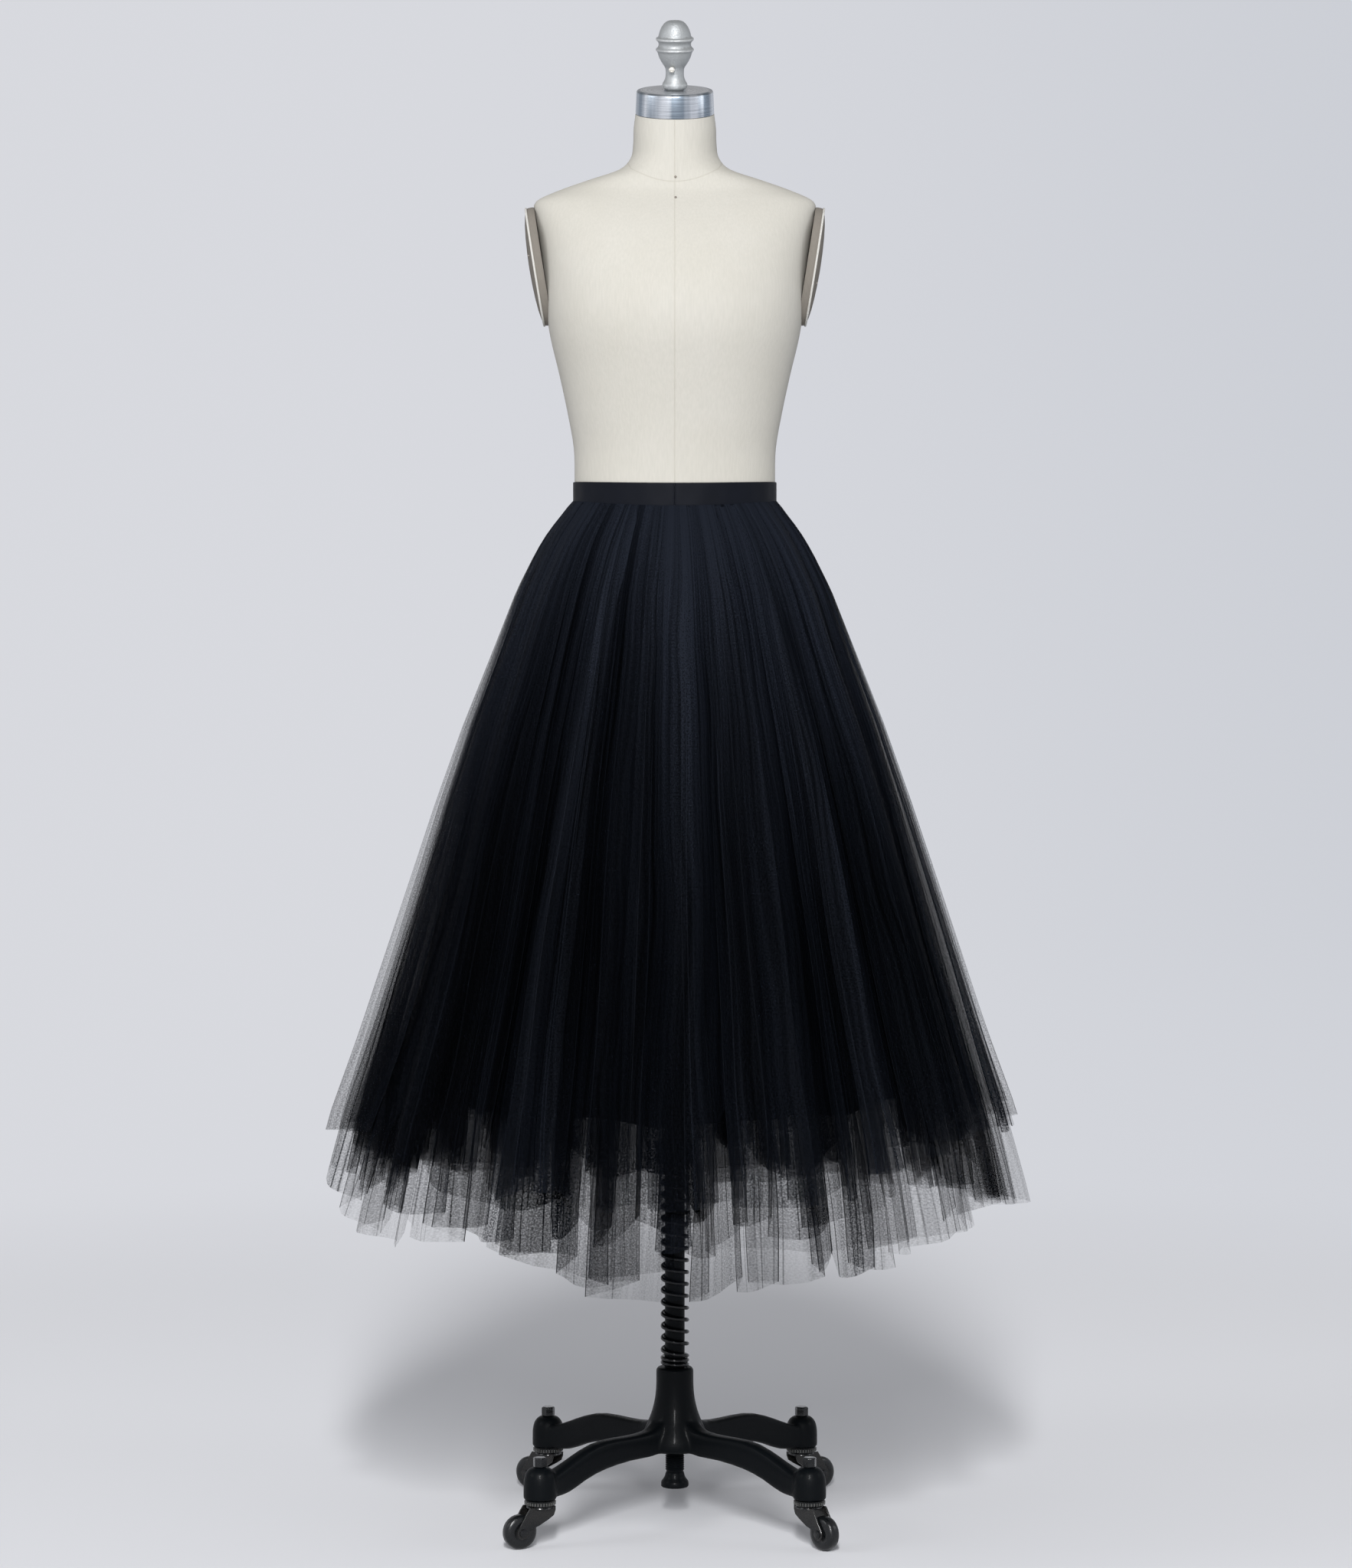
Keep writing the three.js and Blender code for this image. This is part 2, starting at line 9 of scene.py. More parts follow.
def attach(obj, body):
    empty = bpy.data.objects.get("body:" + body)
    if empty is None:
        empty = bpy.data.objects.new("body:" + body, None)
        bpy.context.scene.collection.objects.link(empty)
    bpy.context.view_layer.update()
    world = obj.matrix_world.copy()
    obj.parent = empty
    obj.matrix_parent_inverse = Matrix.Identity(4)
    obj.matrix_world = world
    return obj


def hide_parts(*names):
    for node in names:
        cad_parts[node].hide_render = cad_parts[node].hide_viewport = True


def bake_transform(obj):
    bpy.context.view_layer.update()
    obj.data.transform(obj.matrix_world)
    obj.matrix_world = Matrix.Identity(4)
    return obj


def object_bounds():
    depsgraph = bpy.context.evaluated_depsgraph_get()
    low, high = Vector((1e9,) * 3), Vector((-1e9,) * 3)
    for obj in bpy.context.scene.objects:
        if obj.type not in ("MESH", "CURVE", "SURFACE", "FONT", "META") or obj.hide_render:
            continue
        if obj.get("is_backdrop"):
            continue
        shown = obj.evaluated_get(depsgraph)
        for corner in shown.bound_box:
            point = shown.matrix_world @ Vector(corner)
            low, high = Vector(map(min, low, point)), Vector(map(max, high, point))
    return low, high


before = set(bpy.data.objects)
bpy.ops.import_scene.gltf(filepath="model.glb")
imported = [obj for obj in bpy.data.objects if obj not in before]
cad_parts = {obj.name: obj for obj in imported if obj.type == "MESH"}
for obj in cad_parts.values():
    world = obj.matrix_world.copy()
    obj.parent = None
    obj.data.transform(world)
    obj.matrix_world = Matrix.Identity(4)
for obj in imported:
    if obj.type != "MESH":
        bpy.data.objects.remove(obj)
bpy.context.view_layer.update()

scene = bpy.context.scene


# ---- Camera and studio ---------------------------------------------------------------
# The skirt on its stand is seen from five metres off, level with the hip, in a seamless
# pale studio. A paper floor sweeps up into a round wall, and soft lamps hang in front.
# Farther out the paper glows as painted light, and its colour holds painted shade.
def new_finish(name, roughness=0.5, glare=0.5):
    """A material holding one Principled shader, with its node tree and that shader."""
    material = bpy.data.materials.new(name)
    material.use_nodes = True
    tree = material.node_tree
    shader = tree.nodes["Principled BSDF"]
    shader.inputs["Roughness"].default_value = roughness
    shader.inputs["Specular IOR Level"].default_value = glare
    return material, tree, shader


def add_node(tree, kind, values=None, **settings):
    """Adds a node. A value that is a socket is linked, and any other is set."""
    node = tree.nodes.new(kind)
    for key, value in settings.items():
        setattr(node, key, value)
    for socket, value in (values or {}).items():
        if isinstance(value, bpy.types.NodeSocket):
            tree.links.new(value, node.inputs[socket])
        else:
            node.inputs[socket].default_value = value
    return node


def own_place(tree):
    """The place on the piece itself."""
    return add_node(tree, "ShaderNodeTexCoord").outputs["Object"]


def axes_of(tree, place):
    """The X, Y and Z of a place."""
    return add_node(tree, "ShaderNodeSeparateXYZ", {0: place}).outputs


def graded(tree, value, low, high, to_low=0.0, to_high=1.0, **settings):
    """A value spread from one range over another, and held at its ends."""
    return add_node(tree, "ShaderNodeMapRange",
                    {"Value": value, "From Min": low, "From Max": high,
                     "To Min": to_low, "To Max": to_high}, **settings).outputs["Result"]


def mixed_colour(tree, share, first, second):
    """A colour between two, each of them a socket or three numbers."""
    ends = [end if isinstance(end, bpy.types.NodeSocket) else (*end, 1)
            for end in (first, second)]
    return add_node(tree, "ShaderNodeMix", {0: share, 6: ends[0], 7: ends[1]},
                    data_type="RGBA").outputs[2]


def mesh_piece(name, points, faces, material):
    """A smooth mesh object from its points and faces, in the row frame."""
    mesh = bpy.data.meshes.new(name)
    mesh.from_pydata([tuple(p) for p in points], [], [tuple(f) for f in faces])
    mesh.update()
    piece = bpy.data.objects.new(name, mesh)
    scene.collection.objects.link(piece)
    mesh.materials.append(material)
    mesh.shade_smooth()
    return piece


def ring_faces(rows, columns):
    """Quads between neighbouring rows of points, each row running round."""
    faces = []
    for r in range(rows - 1):
        for c in range(columns):
            n = (c + 1) % columns
            faces.append((r * columns + c, (r + 1) * columns + c,
                          (r + 1) * columns + n, r * columns + n))
    return faces


def turns_round(count):
    """Evenly spaced turn angles, once round."""
    return np.linspace(0, 2 * math.pi, count, endpoint=False)


camera = bpy.data.objects.new("camera", bpy.data.cameras.new("camera"))
scene.collection.objects.link(camera)
camera.data.lens = 96.8
camera.location = (0.0014, -5.0, 1.083)
camera.rotation_euler = (math.radians(90 - 2.35), 0, 0)
scene.camera = camera
scene.view_settings.view_transform = "Standard"
scene.cycles.transparent_max_bounces = 32   # a look through the skirt crosses many layers

sweep_profile = [(0.0, 0.0), (2.0, 0.0), (5.0, 0.0), (9.0, 0.0)]
sweep_profile += [(9 + 3 * math.sin(a), 3 - 3 * math.cos(a))
                  for a in np.linspace(0.15, math.pi / 2, 9)]
sweep_profile += [(12.0, 7.0), (11.0, 10.0), (6.0, 12.5)]
sweep_turns = 72
sweep_points = [(r * math.cos(t), r * math.sin(t), z) for r, z in sweep_profile
                for t in turns_round(sweep_turns)]
paper, tree, shader = new_finish("studio_paper", 0.95, 0.1)
place = own_place(tree)
axes = axes_of(tree, place)
# Painted shade: the paper's colour is darker towards the front and paler behind, which evens out
# the key lamp's brighter light near it.
paper_painted_darker_front = mixed_colour(tree, graded(tree, axes["Y"], -3.2, 2.2),
                     (0.43, 0.435, 0.45), (0.88, 0.885, 0.91))
tree.links.new(paper_painted_darker_front, shader.inputs["Base Color"])
# Painted light: from one and a half to three metres out the paper glows instead of being lit. This
# makes the far floor and wall bright and lights the form too. The glow is painted darker towards
# the right as painted shade, and is dimmer and warmer above four metres.
side = graded(tree, axes["X"], -1.5, 4.5, interpolation_type="SMOOTHSTEP")
above = graded(tree, axes["Z"], 4.0, 6.5, 1.0, 0.50, interpolation_type="SMOOTHSTEP")
glow_painted_darker_right = mixed_colour(tree, side, (0.685, 0.695, 0.735), (0.585, 0.605, 0.655))
glow = add_node(tree, "ShaderNodeEmission",
                {"Color": mixed_colour(tree, above, (0.73, 0.71, 0.69), glow_painted_darker_right),
                 "Strength": above})
reach = add_node(tree, "ShaderNodeVectorMath", {0: place}, operation="LENGTH")
far = graded(tree, reach.outputs["Value"], 1.5, 3.1, interpolation_type="SMOOTHSTEP")
blend = add_node(tree, "ShaderNodeMixShader",
                 {0: far, 1: shader.outputs[0], 2: glow.outputs[0]})
tree.links.new(blend.outputs[0], tree.nodes["Material Output"].inputs["Surface"])
studio = mesh_piece("studio_sweep", sweep_points,
                    [f[::-1] for f in ring_faces(len(sweep_profile), sweep_turns)], paper)
studio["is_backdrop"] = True

scene.world = bpy.data.worlds.new("studio_air")
scene.world.use_nodes = True
air = scene.world.node_tree.nodes["Background"].inputs
air["Color"].default_value = (0.9, 0.94, 1.0, 1)
air["Strength"].default_value = 0.20


def lamp(name, place, aim, width, height, watts, colour):
    """A soft lamp that looks at a point."""
    light = bpy.data.lights.new(name, "AREA")
    light.shape = "RECTANGLE"
    light.size, light.size_y = width, height
    light.energy = watts
    light.color = colour
    holder = bpy.data.objects.new(name, light)
    holder.location = place
    holder.rotation_euler = (Vector(aim) - Vector(place)).to_track_quat("-Z", "Y").to_euler()
    holder.visible_camera = False
    scene.collection.objects.link(holder)


lamp("key_lamp", (-0.1, -5.9, 3.75), (0, 0, 0.7), 0.5, 3.2, 552, (0.99, 0.99, 1.0))
lamp("left_lamp", (-3.6, -1.2, 2.6), (0, 0, 1.0), 1.6, 1.6, 26, (0.95, 0.97, 1.0))
lamp("right_lamp", (3.8, -0.4, 2.2), (0, 0, 1.0), 1.4, 1.4, 14, (0.95, 0.97, 1.0))


# ---- Five layers of tulle ------------------------------------------------------------
# The skirt is five full widths of fine black net, each gathered into the waist seam and
# falling in pressed folds, with hems left raw and cut to different lengths.
# Up the skirt: the height, the outermost layer's mean half width, how far less its half
# depth is, the swing of its large folds, how far apart the layers hang, and how far inside
# the lining does.
bell = dict(zip(("height", "width", "less", "fold", "step", "lining"), np.array([
    (0.2500, 0.4350, 0.018, 0.0230, 0.0135, 0.0980),
    (0.3200, 0.4220, 0.018, 0.0220, 0.0130, 0.0900),
    (0.4000, 0.4050, 0.018, 0.0200, 0.0122, 0.0780),
    (0.4950, 0.3830, 0.018, 0.0182, 0.0115, 0.0680),
    (0.5860, 0.3545, 0.018, 0.0160, 0.0105, 0.0620),
    (0.7220, 0.3130, 0.018, 0.0126, 0.0090, 0.0530),
    (0.8585, 0.2720, 0.018, 0.0092, 0.0075, 0.0420),
    (0.9490, 0.2425, 0.018, 0.0070, 0.0062, 0.0350),
    (1.0400, 0.2085, 0.018, 0.0048, 0.0048, 0.0270),
    (1.1085, 0.1830, 0.019, 0.0032, 0.0036, 0.0210),
    (1.1540, 0.1612, 0.021, 0.0020, 0.0027, 0.0160),
    (1.1766, 0.1480, 0.023, 0.0014, 0.0022, 0.0130),
    (1.1990, 0.1310, 0.027, 0.0008, 0.0017, 0.0090),
    (1.2060, 0.1262, 0.028, 0.0005, 0.0011, 0.0055),
    (1.2107, 0.1220, 0.029, 0.0002, 0.0006, 0.0030),
    (1.2127, 0.1205, 0.029, 0.0001, 0.0002, 0.0010)]).T))


def bell_at(key, z):
    """One of the bell's measures at this height."""
    return np.interp(z, bell["height"], bell[key])


fold_places = 2048   # places round the skirt where the large folds are worked out
# One run of large folds: its widths and depths. It goes round the skirt twice.
large_folds = [(1.0, 1.0), (0.8, 0.7), (1.3, 1.05), (0.9, 0.8), (0.7, 0.65),
               (1.2, 1.1), (1.0, 0.75), (0.75, 0.9), (1.25, 1.0), (0.95, 0.8)]
fold_crest = [(0.12, 1.0), (0.42, 1.0), (0.60, -1.0), (0.94, -1.0)]


def large_fold_wave():
    """How far the large folds stand out, from -1 to 1, at each fold place."""
    total = 2 * sum(width for width, _ in large_folds)
    turns, waves, start = [], [], 0.0
    for width, depth in large_folds * 2:
        for share, crest in fold_crest:
            turns.append((start + share * width) / total)
            waves.append(crest * depth)
        start += width
    places = np.arange(fold_places) / fold_places
    wave = np.interp(places, turns, waves, period=1)
    reach = np.arange(-24, 25)
    weight = np.exp(-(reach / 11.0) ** 2)
    return sum(w * np.roll(wave, k) for w, k in zip(weight / weight.sum(), reach))


fold_wave = large_fold_wave()


def fold_wave_at(turn):
    """The same wave at any turn."""
    return np.interp(np.mod(turn / (2 * math.pi), 1) * fold_places, np.arange(fold_places + 1),
                     np.append(fold_wave, fold_wave[0]))


def quarter_blend(turn, left, front, right, back):
    """A value that differs at the skirt's left, front, right and back."""
    c, s = np.cos(turn), np.sin(turn)
    return (left * np.maximum(0, -c) ** 2 + right * np.maximum(0, c) ** 2
            + front * np.maximum(0, -s) ** 2 + back * np.maximum(0, s) ** 2)


def smooth_rise(x):
    """An even rise from 0 to 1, eased at both ends."""
    x = np.clip(x, 0, 1)
    return x * x * (3 - 2 * x)


waist_seam, front_dip = 1.2127, 0.007   # its height behind, and how far it dips in front


def seam_dip(turn):
    """How far the waist seam dips, most at centre front."""
    return front_dip * np.maximum(0, -np.sin(turn)) ** 2


def bell_level(turn, z):
    """The height to read the bell at: near the waist the bell follows the dipping seam."""
    return z + seam_dip(turn) * smooth_rise((z - 1.08) / 0.1)


def hang(turn, z, inwards, out):
    """Points of cloth hanging at this turn and height, set in and then moved out."""
    a = bell_at("width", bell_level(turn, z)) - inwards
    b = a - bell_at("less", bell_level(turn, z))
    nx, ny = np.cos(turn) / a, np.sin(turn) / b
    length = np.hypot(nx, ny)
    x = a * np.cos(turn) + out * nx / length
    y = b * np.sin(turn) + out * ny / length
    return np.stack([x, y, z], axis=-1)


def seam_height(turn):
    """The cloth's top edge, which is sewn in just behind the waistband's lower edge."""
    return waist_seam - seam_dip(turn)


def flutter(turn, z):
    """The free ends of the net swing in and out a little, all layers together."""
    free = smooth_rise((0.66 - z) / 0.32)
    return free * (0.0045 * np.sin(7 * turn + 0.6 + 2.5 * z) + 0.0035 * np.sin(12 * turn + 2.1)
                   + 0.0025 * np.sin(19 * turn + 4.0 - 3.0 * z))


def slack(turn, z):
    """How much further in the under layers and the lining hang at the sides."""
    return quarter_blend(turn, 0.014, 0.0, 0.006, 0.003) * smooth_rise((1.12 - z) / 0.5)


fold_line_half = 0.0024   # turn angle over which a folded edge reads as a line


def pleat_columns(pleats, seed):
    """The path of one layer round the skirt, pleat by pleat: for each column of points its
    turn, whether it lies outside or behind, its hem's change, whether it is an edge, and how
    closely the cloth lies there."""
    draw = random.Random(seed)
    crowds = [draw.uniform(0, 6.28), draw.uniform(0, 6.28)]
    widths = []
    for number in range(pleats):
        at = 2 * math.pi * number / pleats
        crowd = 1 + 0.42 * math.sin(3 * at + crowds[0]) + 0.3 * math.sin(5 * at + crowds[1])
        widths.append(crowd * draw.choice((0.35, 0.55, 0.8, 1.2, 1.8)))
    scale = 2 * math.pi / sum(widths)
    corners, start = [], draw.uniform(0, 1)
    for width in widths:
        w = width * scale
        crest = draw.uniform(0.52, 0.80)
        lap = 1.9 if width < 0.6 else 1.0   # narrow pleats lie in close bundles
        before, after = lap * draw.uniform(0.08, 0.32), lap * draw.uniform(0.04, 0.28)
        fall, tilt, depth = draw.gauss(0, 1), draw.gauss(0, 0.6), draw.uniform(0.6, 1.2)
        close = draw.choice((0.65, 0.8, 1.0, 1.2, 1.6)) * (1.3 if width < 0.6 else 1.0)
        corners.append((start, depth, fall - tilt, close))
        corners.append((start + crest * w, depth, fall + tilt, 1.0))
        corners.append((start + (crest - before) * w, -depth, fall * 0.4 + draw.gauss(0, 0.4),
                        draw.choice((0.7, 0.9, 1.3))))
        corners.append((start + (1 + after) * w, -depth, fall * 0.4 + draw.gauss(0, 0.4), 1.0))
        start += w
    corners.append((corners[0][0] + 2 * math.pi, *corners[0][1:]))
    inner = (6, 1, 3, 1)   # columns between a crest's corners, on its flank, in its hollow
    creases = random.Random(seed + 7)
    turn, level, hem, edge, close = [], [], [], [], []
    for number, (a, b) in enumerate(zip(corners, corners[1:])):
        span = b[0] - a[0]
        step = min(fold_line_half / abs(span), 0.2)
        marks = [(0, 1.0), (step, 0.0), (1 - step, 0.0)]
        marks += [(share, 0.0) for share in
                  np.linspace(step, 1 - step, inner[number % 4] + 2)[1:-1]]
        if number % 4 in (0, 2):   # wide crests and hollows are creased as well
            for _ in range(min(3, int(abs(span) / 0.035))):
                crease = creases.uniform(0.15, 0.85)
                marks += [(crease - step, 0.0), (crease, creases.uniform(0.25, 0.75)),
                          (crease + step, 0.0)]
        for share, line in sorted(marks):
            arch = math.sin(math.pi * share) if number % 2 == 0 else 0
            turn.append(a[0] + share * span)
            level.append(a[1] + share * (b[1] - a[1]) + 0.35 * arch * (1 if a[1] > 0 else -1))
            hem.append(a[2] + share * (b[2] - a[2]) + 0.3 * arch)
            edge.append(line)
            close.append(1.0 if share == 0 else a[3])
    return [np.array(values) for values in (turn, level, hem, edge, close)]


net_rows = 42   # rows of points down a layer
gathers_at = 1.21   # the height where the net is gathered closest
# How the pleats wander round the skirt as they fall: how far, how often, with height.
net_sway = [(0.012, 3, 3.1), (0.008, 11, -7.0), (0.006, 23, 13.0), (0.003, 41, -21.0)]
# Where bundles of folds make the lower skirt close: turn in degrees, its spread, how much.
bundles = [(243, 10, 1.9), (264, 10, 1.2), (296, 7, 1.0), (322, 6, 0.6), (345, 5, 0.4),
           (25, 12, 0.9), (70, 16, 1.4), (118, 12, 1.2), (160, 8, 0.7)]


def bundled(turn):
    """How much closer its bundles make the net at this turn."""
    away = [(np.degrees(turn) - at + 180) % 360 - 180 for at, _, _ in bundles]
    return sum(much * np.exp(-(gap / spread) ** 2)
               for gap, (_, spread, much) in zip(away, bundles))


def net_layer(name, finish, number, pleats, seed, hems, raggedness, bunched):
    """One layer of net as a single closed tube of cloth, with a UV map in metres, the cloth's
    gathering as an attribute, and another that marks its folded edges."""
    turn, level, change, edge, close = pleat_columns(pleats, seed)
    columns = len(turn)
    draw = random.Random(seed + 1)
    hem = quarter_blend(turn, *hems) - raggedness * change
    top = seam_height(turn)
    phases = [draw.uniform(0, 6.28) for _ in range(6)]
    gather = np.array([draw.uniform(-1, 1) for _ in range(columns)])
    gather = (gather + np.roll(gather, 1) + np.roll(gather, 2)) / 3
    shares = np.linspace(0, 1, net_rows) ** 1.25   # closer rows near the waist
    rows = []
    for share in shares:
        z = top + (hem - top) * share
        fallen = np.clip((gathers_at - z) / 0.8, 0, 1)
        sway = fallen * sum(much * np.sin(often * turn + phase + lean * z)
                            for (much, often, lean), phase in zip(net_sway, phases))
        place = turn + sway
        inwards = bell_at("step", bell_level(turn, z)) * (number + (0.5 if number else 0))
        if number >= 2:
            inwards = inwards + slack(turn, z)
        small = 0.0003 + 0.0042 * smooth_rise((1.2 - z) / 0.7) \
            + 0.0050 * smooth_rise((0.62 - z) / 0.26)
        tight = 0.0009 * np.exp(-((1.15 - z) / 0.10) ** 2) * smooth_rise((gathers_at - z) / 0.02)
        out = (bell_at("fold", z) * fold_wave_at(place) + flutter(place, z)
               + small * level + tight * gather)
        rows.append(hang(place, z, inwards, out))
    points = np.array(rows)
    piece = mesh_piece(name, points.reshape(-1, 3), ring_faces(net_rows, columns), finish)
    mesh = piece.data

    low = points[int(net_rows * 0.8)]
    across = np.linalg.norm(np.roll(low, -1, axis=0) - low, axis=1)
    u = np.concatenate([[0], np.cumsum(across)])
    v = (top[None, :] - points[:, :, 2]) * 1.06   # the cloth slopes, so it runs longer
    v = np.concatenate([v, v[:, :1]], axis=1)
    cloth = mesh.uv_layers.new(name="cloth")
    uv = np.empty((net_rows - 1, columns, 4, 2), np.float32)
    for corner, (down, over) in enumerate([(0, 0), (1, 0), (1, 1), (0, 1)]):
        uv[:, :, corner, 0] = u[None, over:columns + over]
        uv[:, :, corner, 1] = v[down:net_rows - 1 + down, over:columns + over]
    cloth.data.foreach_set("uv", uv.ravel())

    z = points[:, :, 2]
    fall = gathers_at - z
    dense = 1 + 4.5 * np.exp(-fall / 0.075) + 1.1 * np.exp(-fall / 0.3)
    dense = dense * close[None, :]
    dense = dense + bunched * bundled(turn)[None, :] * smooth_rise((0.70 - z) / 0.3)
    # A little closer again just under the lining's hem.
    closer = quarter_blend(turn, 0.22, 0.10, 0.08, 0.25)[None, :]
    dense = dense + closer * smooth_rise((z - 0.365) / 0.07) * smooth_rise((0.66 - z) / 0.12)
    for label, values in (("gathered", dense), ("folded_edge", np.tile(edge, net_rows))):
        mesh.attributes.new(label, "FLOAT", "POINT").data.foreach_set(
            "value", values.astype(np.float32).ravel())
    return piece


def maths(tree, operation, first, second=0.0, third=0.0, **settings):
    """One sum of up to three sockets or numbers."""
    return add_node(tree, "ShaderNodeMath", {0: first, 1: second, 2: third},
                    operation=operation, **settings).outputs["Value"]


def noise(tree, place, scale, detail=2.0, roughness=0.5, **settings):
    """Soft noise from 0 to 1 at this place."""
    return add_node(tree, "ShaderNodeTexNoise",
                    {"Vector": place, "Scale": scale, "Detail": detail, "Roughness": roughness},
                    **settings).outputs["Fac"]


def flat_noise(tree, place, scale=1.0, detail=2.0):
    """The same, read on a flat map."""
    return noise(tree, place, scale, detail, noise_dimensions="2D")


def stretched(tree, place, by):
    """The place, stretched along each axis, so that noise there is drawn out."""
    return add_node(tree, "ShaderNodeVectorMath", {0: place, 1: by},
                    operation="MULTIPLY").outputs["Vector"]


def effect_group(name, inputs, outputs):
    """A shader node group that reads a place and these numbers, and puts out numbers. Gives
    the group, the sockets that it reads and those that it fills."""
    group = bpy.data.node_groups.new(name, "ShaderNodeTree")
    group.interface.new_socket("Place", in_out="INPUT", socket_type="NodeSocketVector")
    for label, value in inputs:
        socket = group.interface.new_socket(label, in_out="INPUT", socket_type="NodeSocketFloat")
        socket.default_value = value
    for label in outputs:
        group.interface.new_socket(label, in_out="OUTPUT", socket_type="NodeSocketFloat")
    return (group, add_node(group, "NodeGroupInput").outputs,
            add_node(group, "NodeGroupOutput").inputs)


# How closely cloth is woven or bunched from place to place, in metres on the cloth: a cover
# and a shade, both about 1. The shade's fine and broad streaks run down the cloth; they make
# the net closer, and in its colour they are painted light and shade along the folds.
woven_cover, given, out = effect_group(
    "woven_cover", [("Speckle", 0.5), ("Speckle Scale", 480.0), ("Streak", 0.4)],
    ("Cover", "Shade"))
speckle = flat_noise(woven_cover, given["Place"], given["Speckle Scale"], 1.0)
wander = flat_noise(woven_cover, given["Place"], 5.0, 1.0)
shift = add_node(woven_cover, "ShaderNodeCombineXYZ",
                 {"X": maths(woven_cover, "MULTIPLY", wander, 0.022)})
waved = add_node(woven_cover, "ShaderNodeVectorMath",
                 {0: given["Place"], 1: shift.outputs["Vector"]},
                 operation="ADD").outputs["Vector"]
streak = flat_noise(woven_cover, stretched(woven_cover, waved, (170.0, 2.6, 1.0)), detail=1.5)
broad_painted_streak = flat_noise(woven_cover, stretched(woven_cover, waved, (26.0, 1.1, 1.0)), detail=1.0)
streaks = maths(woven_cover, "ADD", graded(woven_cover, streak, 0.25, 0.75, -1.0, 1.0),
                graded(woven_cover, broad_painted_streak, 0.3, 0.7, -1.0, 1.0))
speckles = graded(woven_cover, speckle, 0.25, 0.75, -1.0, 1.0)
cover = maths(woven_cover, "MULTIPLY_ADD", speckles, given["Speckle"], 1.0)
# Painted light and shade: the streaks make the shade lighter and darker down the cloth.
shade = maths(woven_cover, "MULTIPLY_ADD", streaks, given["Streak"], 1.0)
woven_cover.links.new(maths(woven_cover, "MULTIPLY", cover, shade), out["Cover"])
woven_cover.links.new(shade, out["Shade"])


def net_finish(name, cover, start):
    """Fine black net: mostly holes, and closer where it is gathered or folded."""
    material, tree, shader = new_finish(name, 0.7, 0.03)
    material.use_transparent_shadow = False   # so that each fold shades the next
    cloth = add_node(tree, "ShaderNodeUVMap", uv_map="cloth").outputs["UV"]
    place = add_node(tree, "ShaderNodeVectorMath", {0: cloth, 1: (start, start * 1.7, 0)},
                     operation="ADD")
    woven = add_node(tree, "ShaderNodeGroup",
                     {"Place": place.outputs["Vector"], "Speckle": 0.55, "Streak": 0.33},
                     node_tree=woven_cover).outputs
    gathered = add_node(tree, "ShaderNodeAttribute", attribute_name="gathered").outputs["Fac"]
    edge = add_node(tree, "ShaderNodeAttribute", attribute_name="folded_edge").outputs["Fac"]
    holes = maths(tree, "MULTIPLY", maths(tree, "MULTIPLY", gathered, cover), woven["Cover"])
    alpha = maths(tree, "MULTIPLY_ADD", edge, 0.9, holes, use_clamp=True)
    # Painted light: the net's colour is lighter near the waist, where more light falls on it, and
    # darker lower down; the woven shade adds painted light and dark streaks to it.
    fallen = axes_of(tree, cloth)["Y"]
    lit = graded(tree, fallen, 0.02, 0.50, 0.85, 0.19)
    colour = mixed_colour(tree, maths(tree, "MULTIPLY", lit, woven["Shade"]),
                          (0.0016, 0.0023, 0.0038), (0.0079, 0.0098, 0.0148))
    tree.links.new(colour, shader.inputs["Base Color"])
    tree.links.new(alpha, shader.inputs["Alpha"])
    return material


# Layers from the outermost in: the name, the net's cover, how much closer its bundles are,
# its pleats, seed, hem heights at the left, front, right and back, the hem's raggedness, and
# the flat cut.
net_layers = [
    ("tulle_layer_5", 0.20, 0.35, 24, 51, (0.470, 0.430, 0.492, 0.446), 0.009, (3.9, 0.83)),
    ("tulle_layer_4", 0.20, 0.55, 20, 42, (0.424, 0.362, 0.386, 0.374), 0.014, (3.9, 0.90)),
    ("tulle_layer_3", 0.20, 0.25, 17, 33, (0.420, 0.336, 0.380, 0.360), 0.017, (3.8, 0.93)),
    ("tulle_layer_2", 0.24, 0.85, 28, 24, (0.447, 0.400, 0.458, 0.420), 0.022, (3.6, 0.88)),
    ("tulle_layer_1", 0.26, 1.1, 26, 15, (0.480, 0.452, 0.492, 0.466), 0.020, (3.5, 0.83))]
for number, (name, cover, bunched, pleats, seed, hems, raggedness, cut) in enumerate(net_layers):
    finish = net_finish(f"{name}_net", cover, 0.37 * number)
    net = net_layer(f"{name}_cloth", finish, number, pleats, seed, hems, raggedness, bunched)
    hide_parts(name)
    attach(net, "form")


# ---- Lining --------------------------------------------------------------------------
# A plain A-line lining of close matt black cloth hangs inside the net from the same seam,
# and ends a hand's width above it.
def relieved(tree, shader, colour, height, strength, distance):
    """Gives a shader its colour, and this height as fine relief."""
    tree.links.new(colour, shader.inputs["Base Color"])
    relief = add_node(tree, "ShaderNodeBump",
                      {"Height": height, "Strength": strength, "Distance": distance})
    tree.links.new(relief.outputs["Normal"], shader.inputs["Normal"])


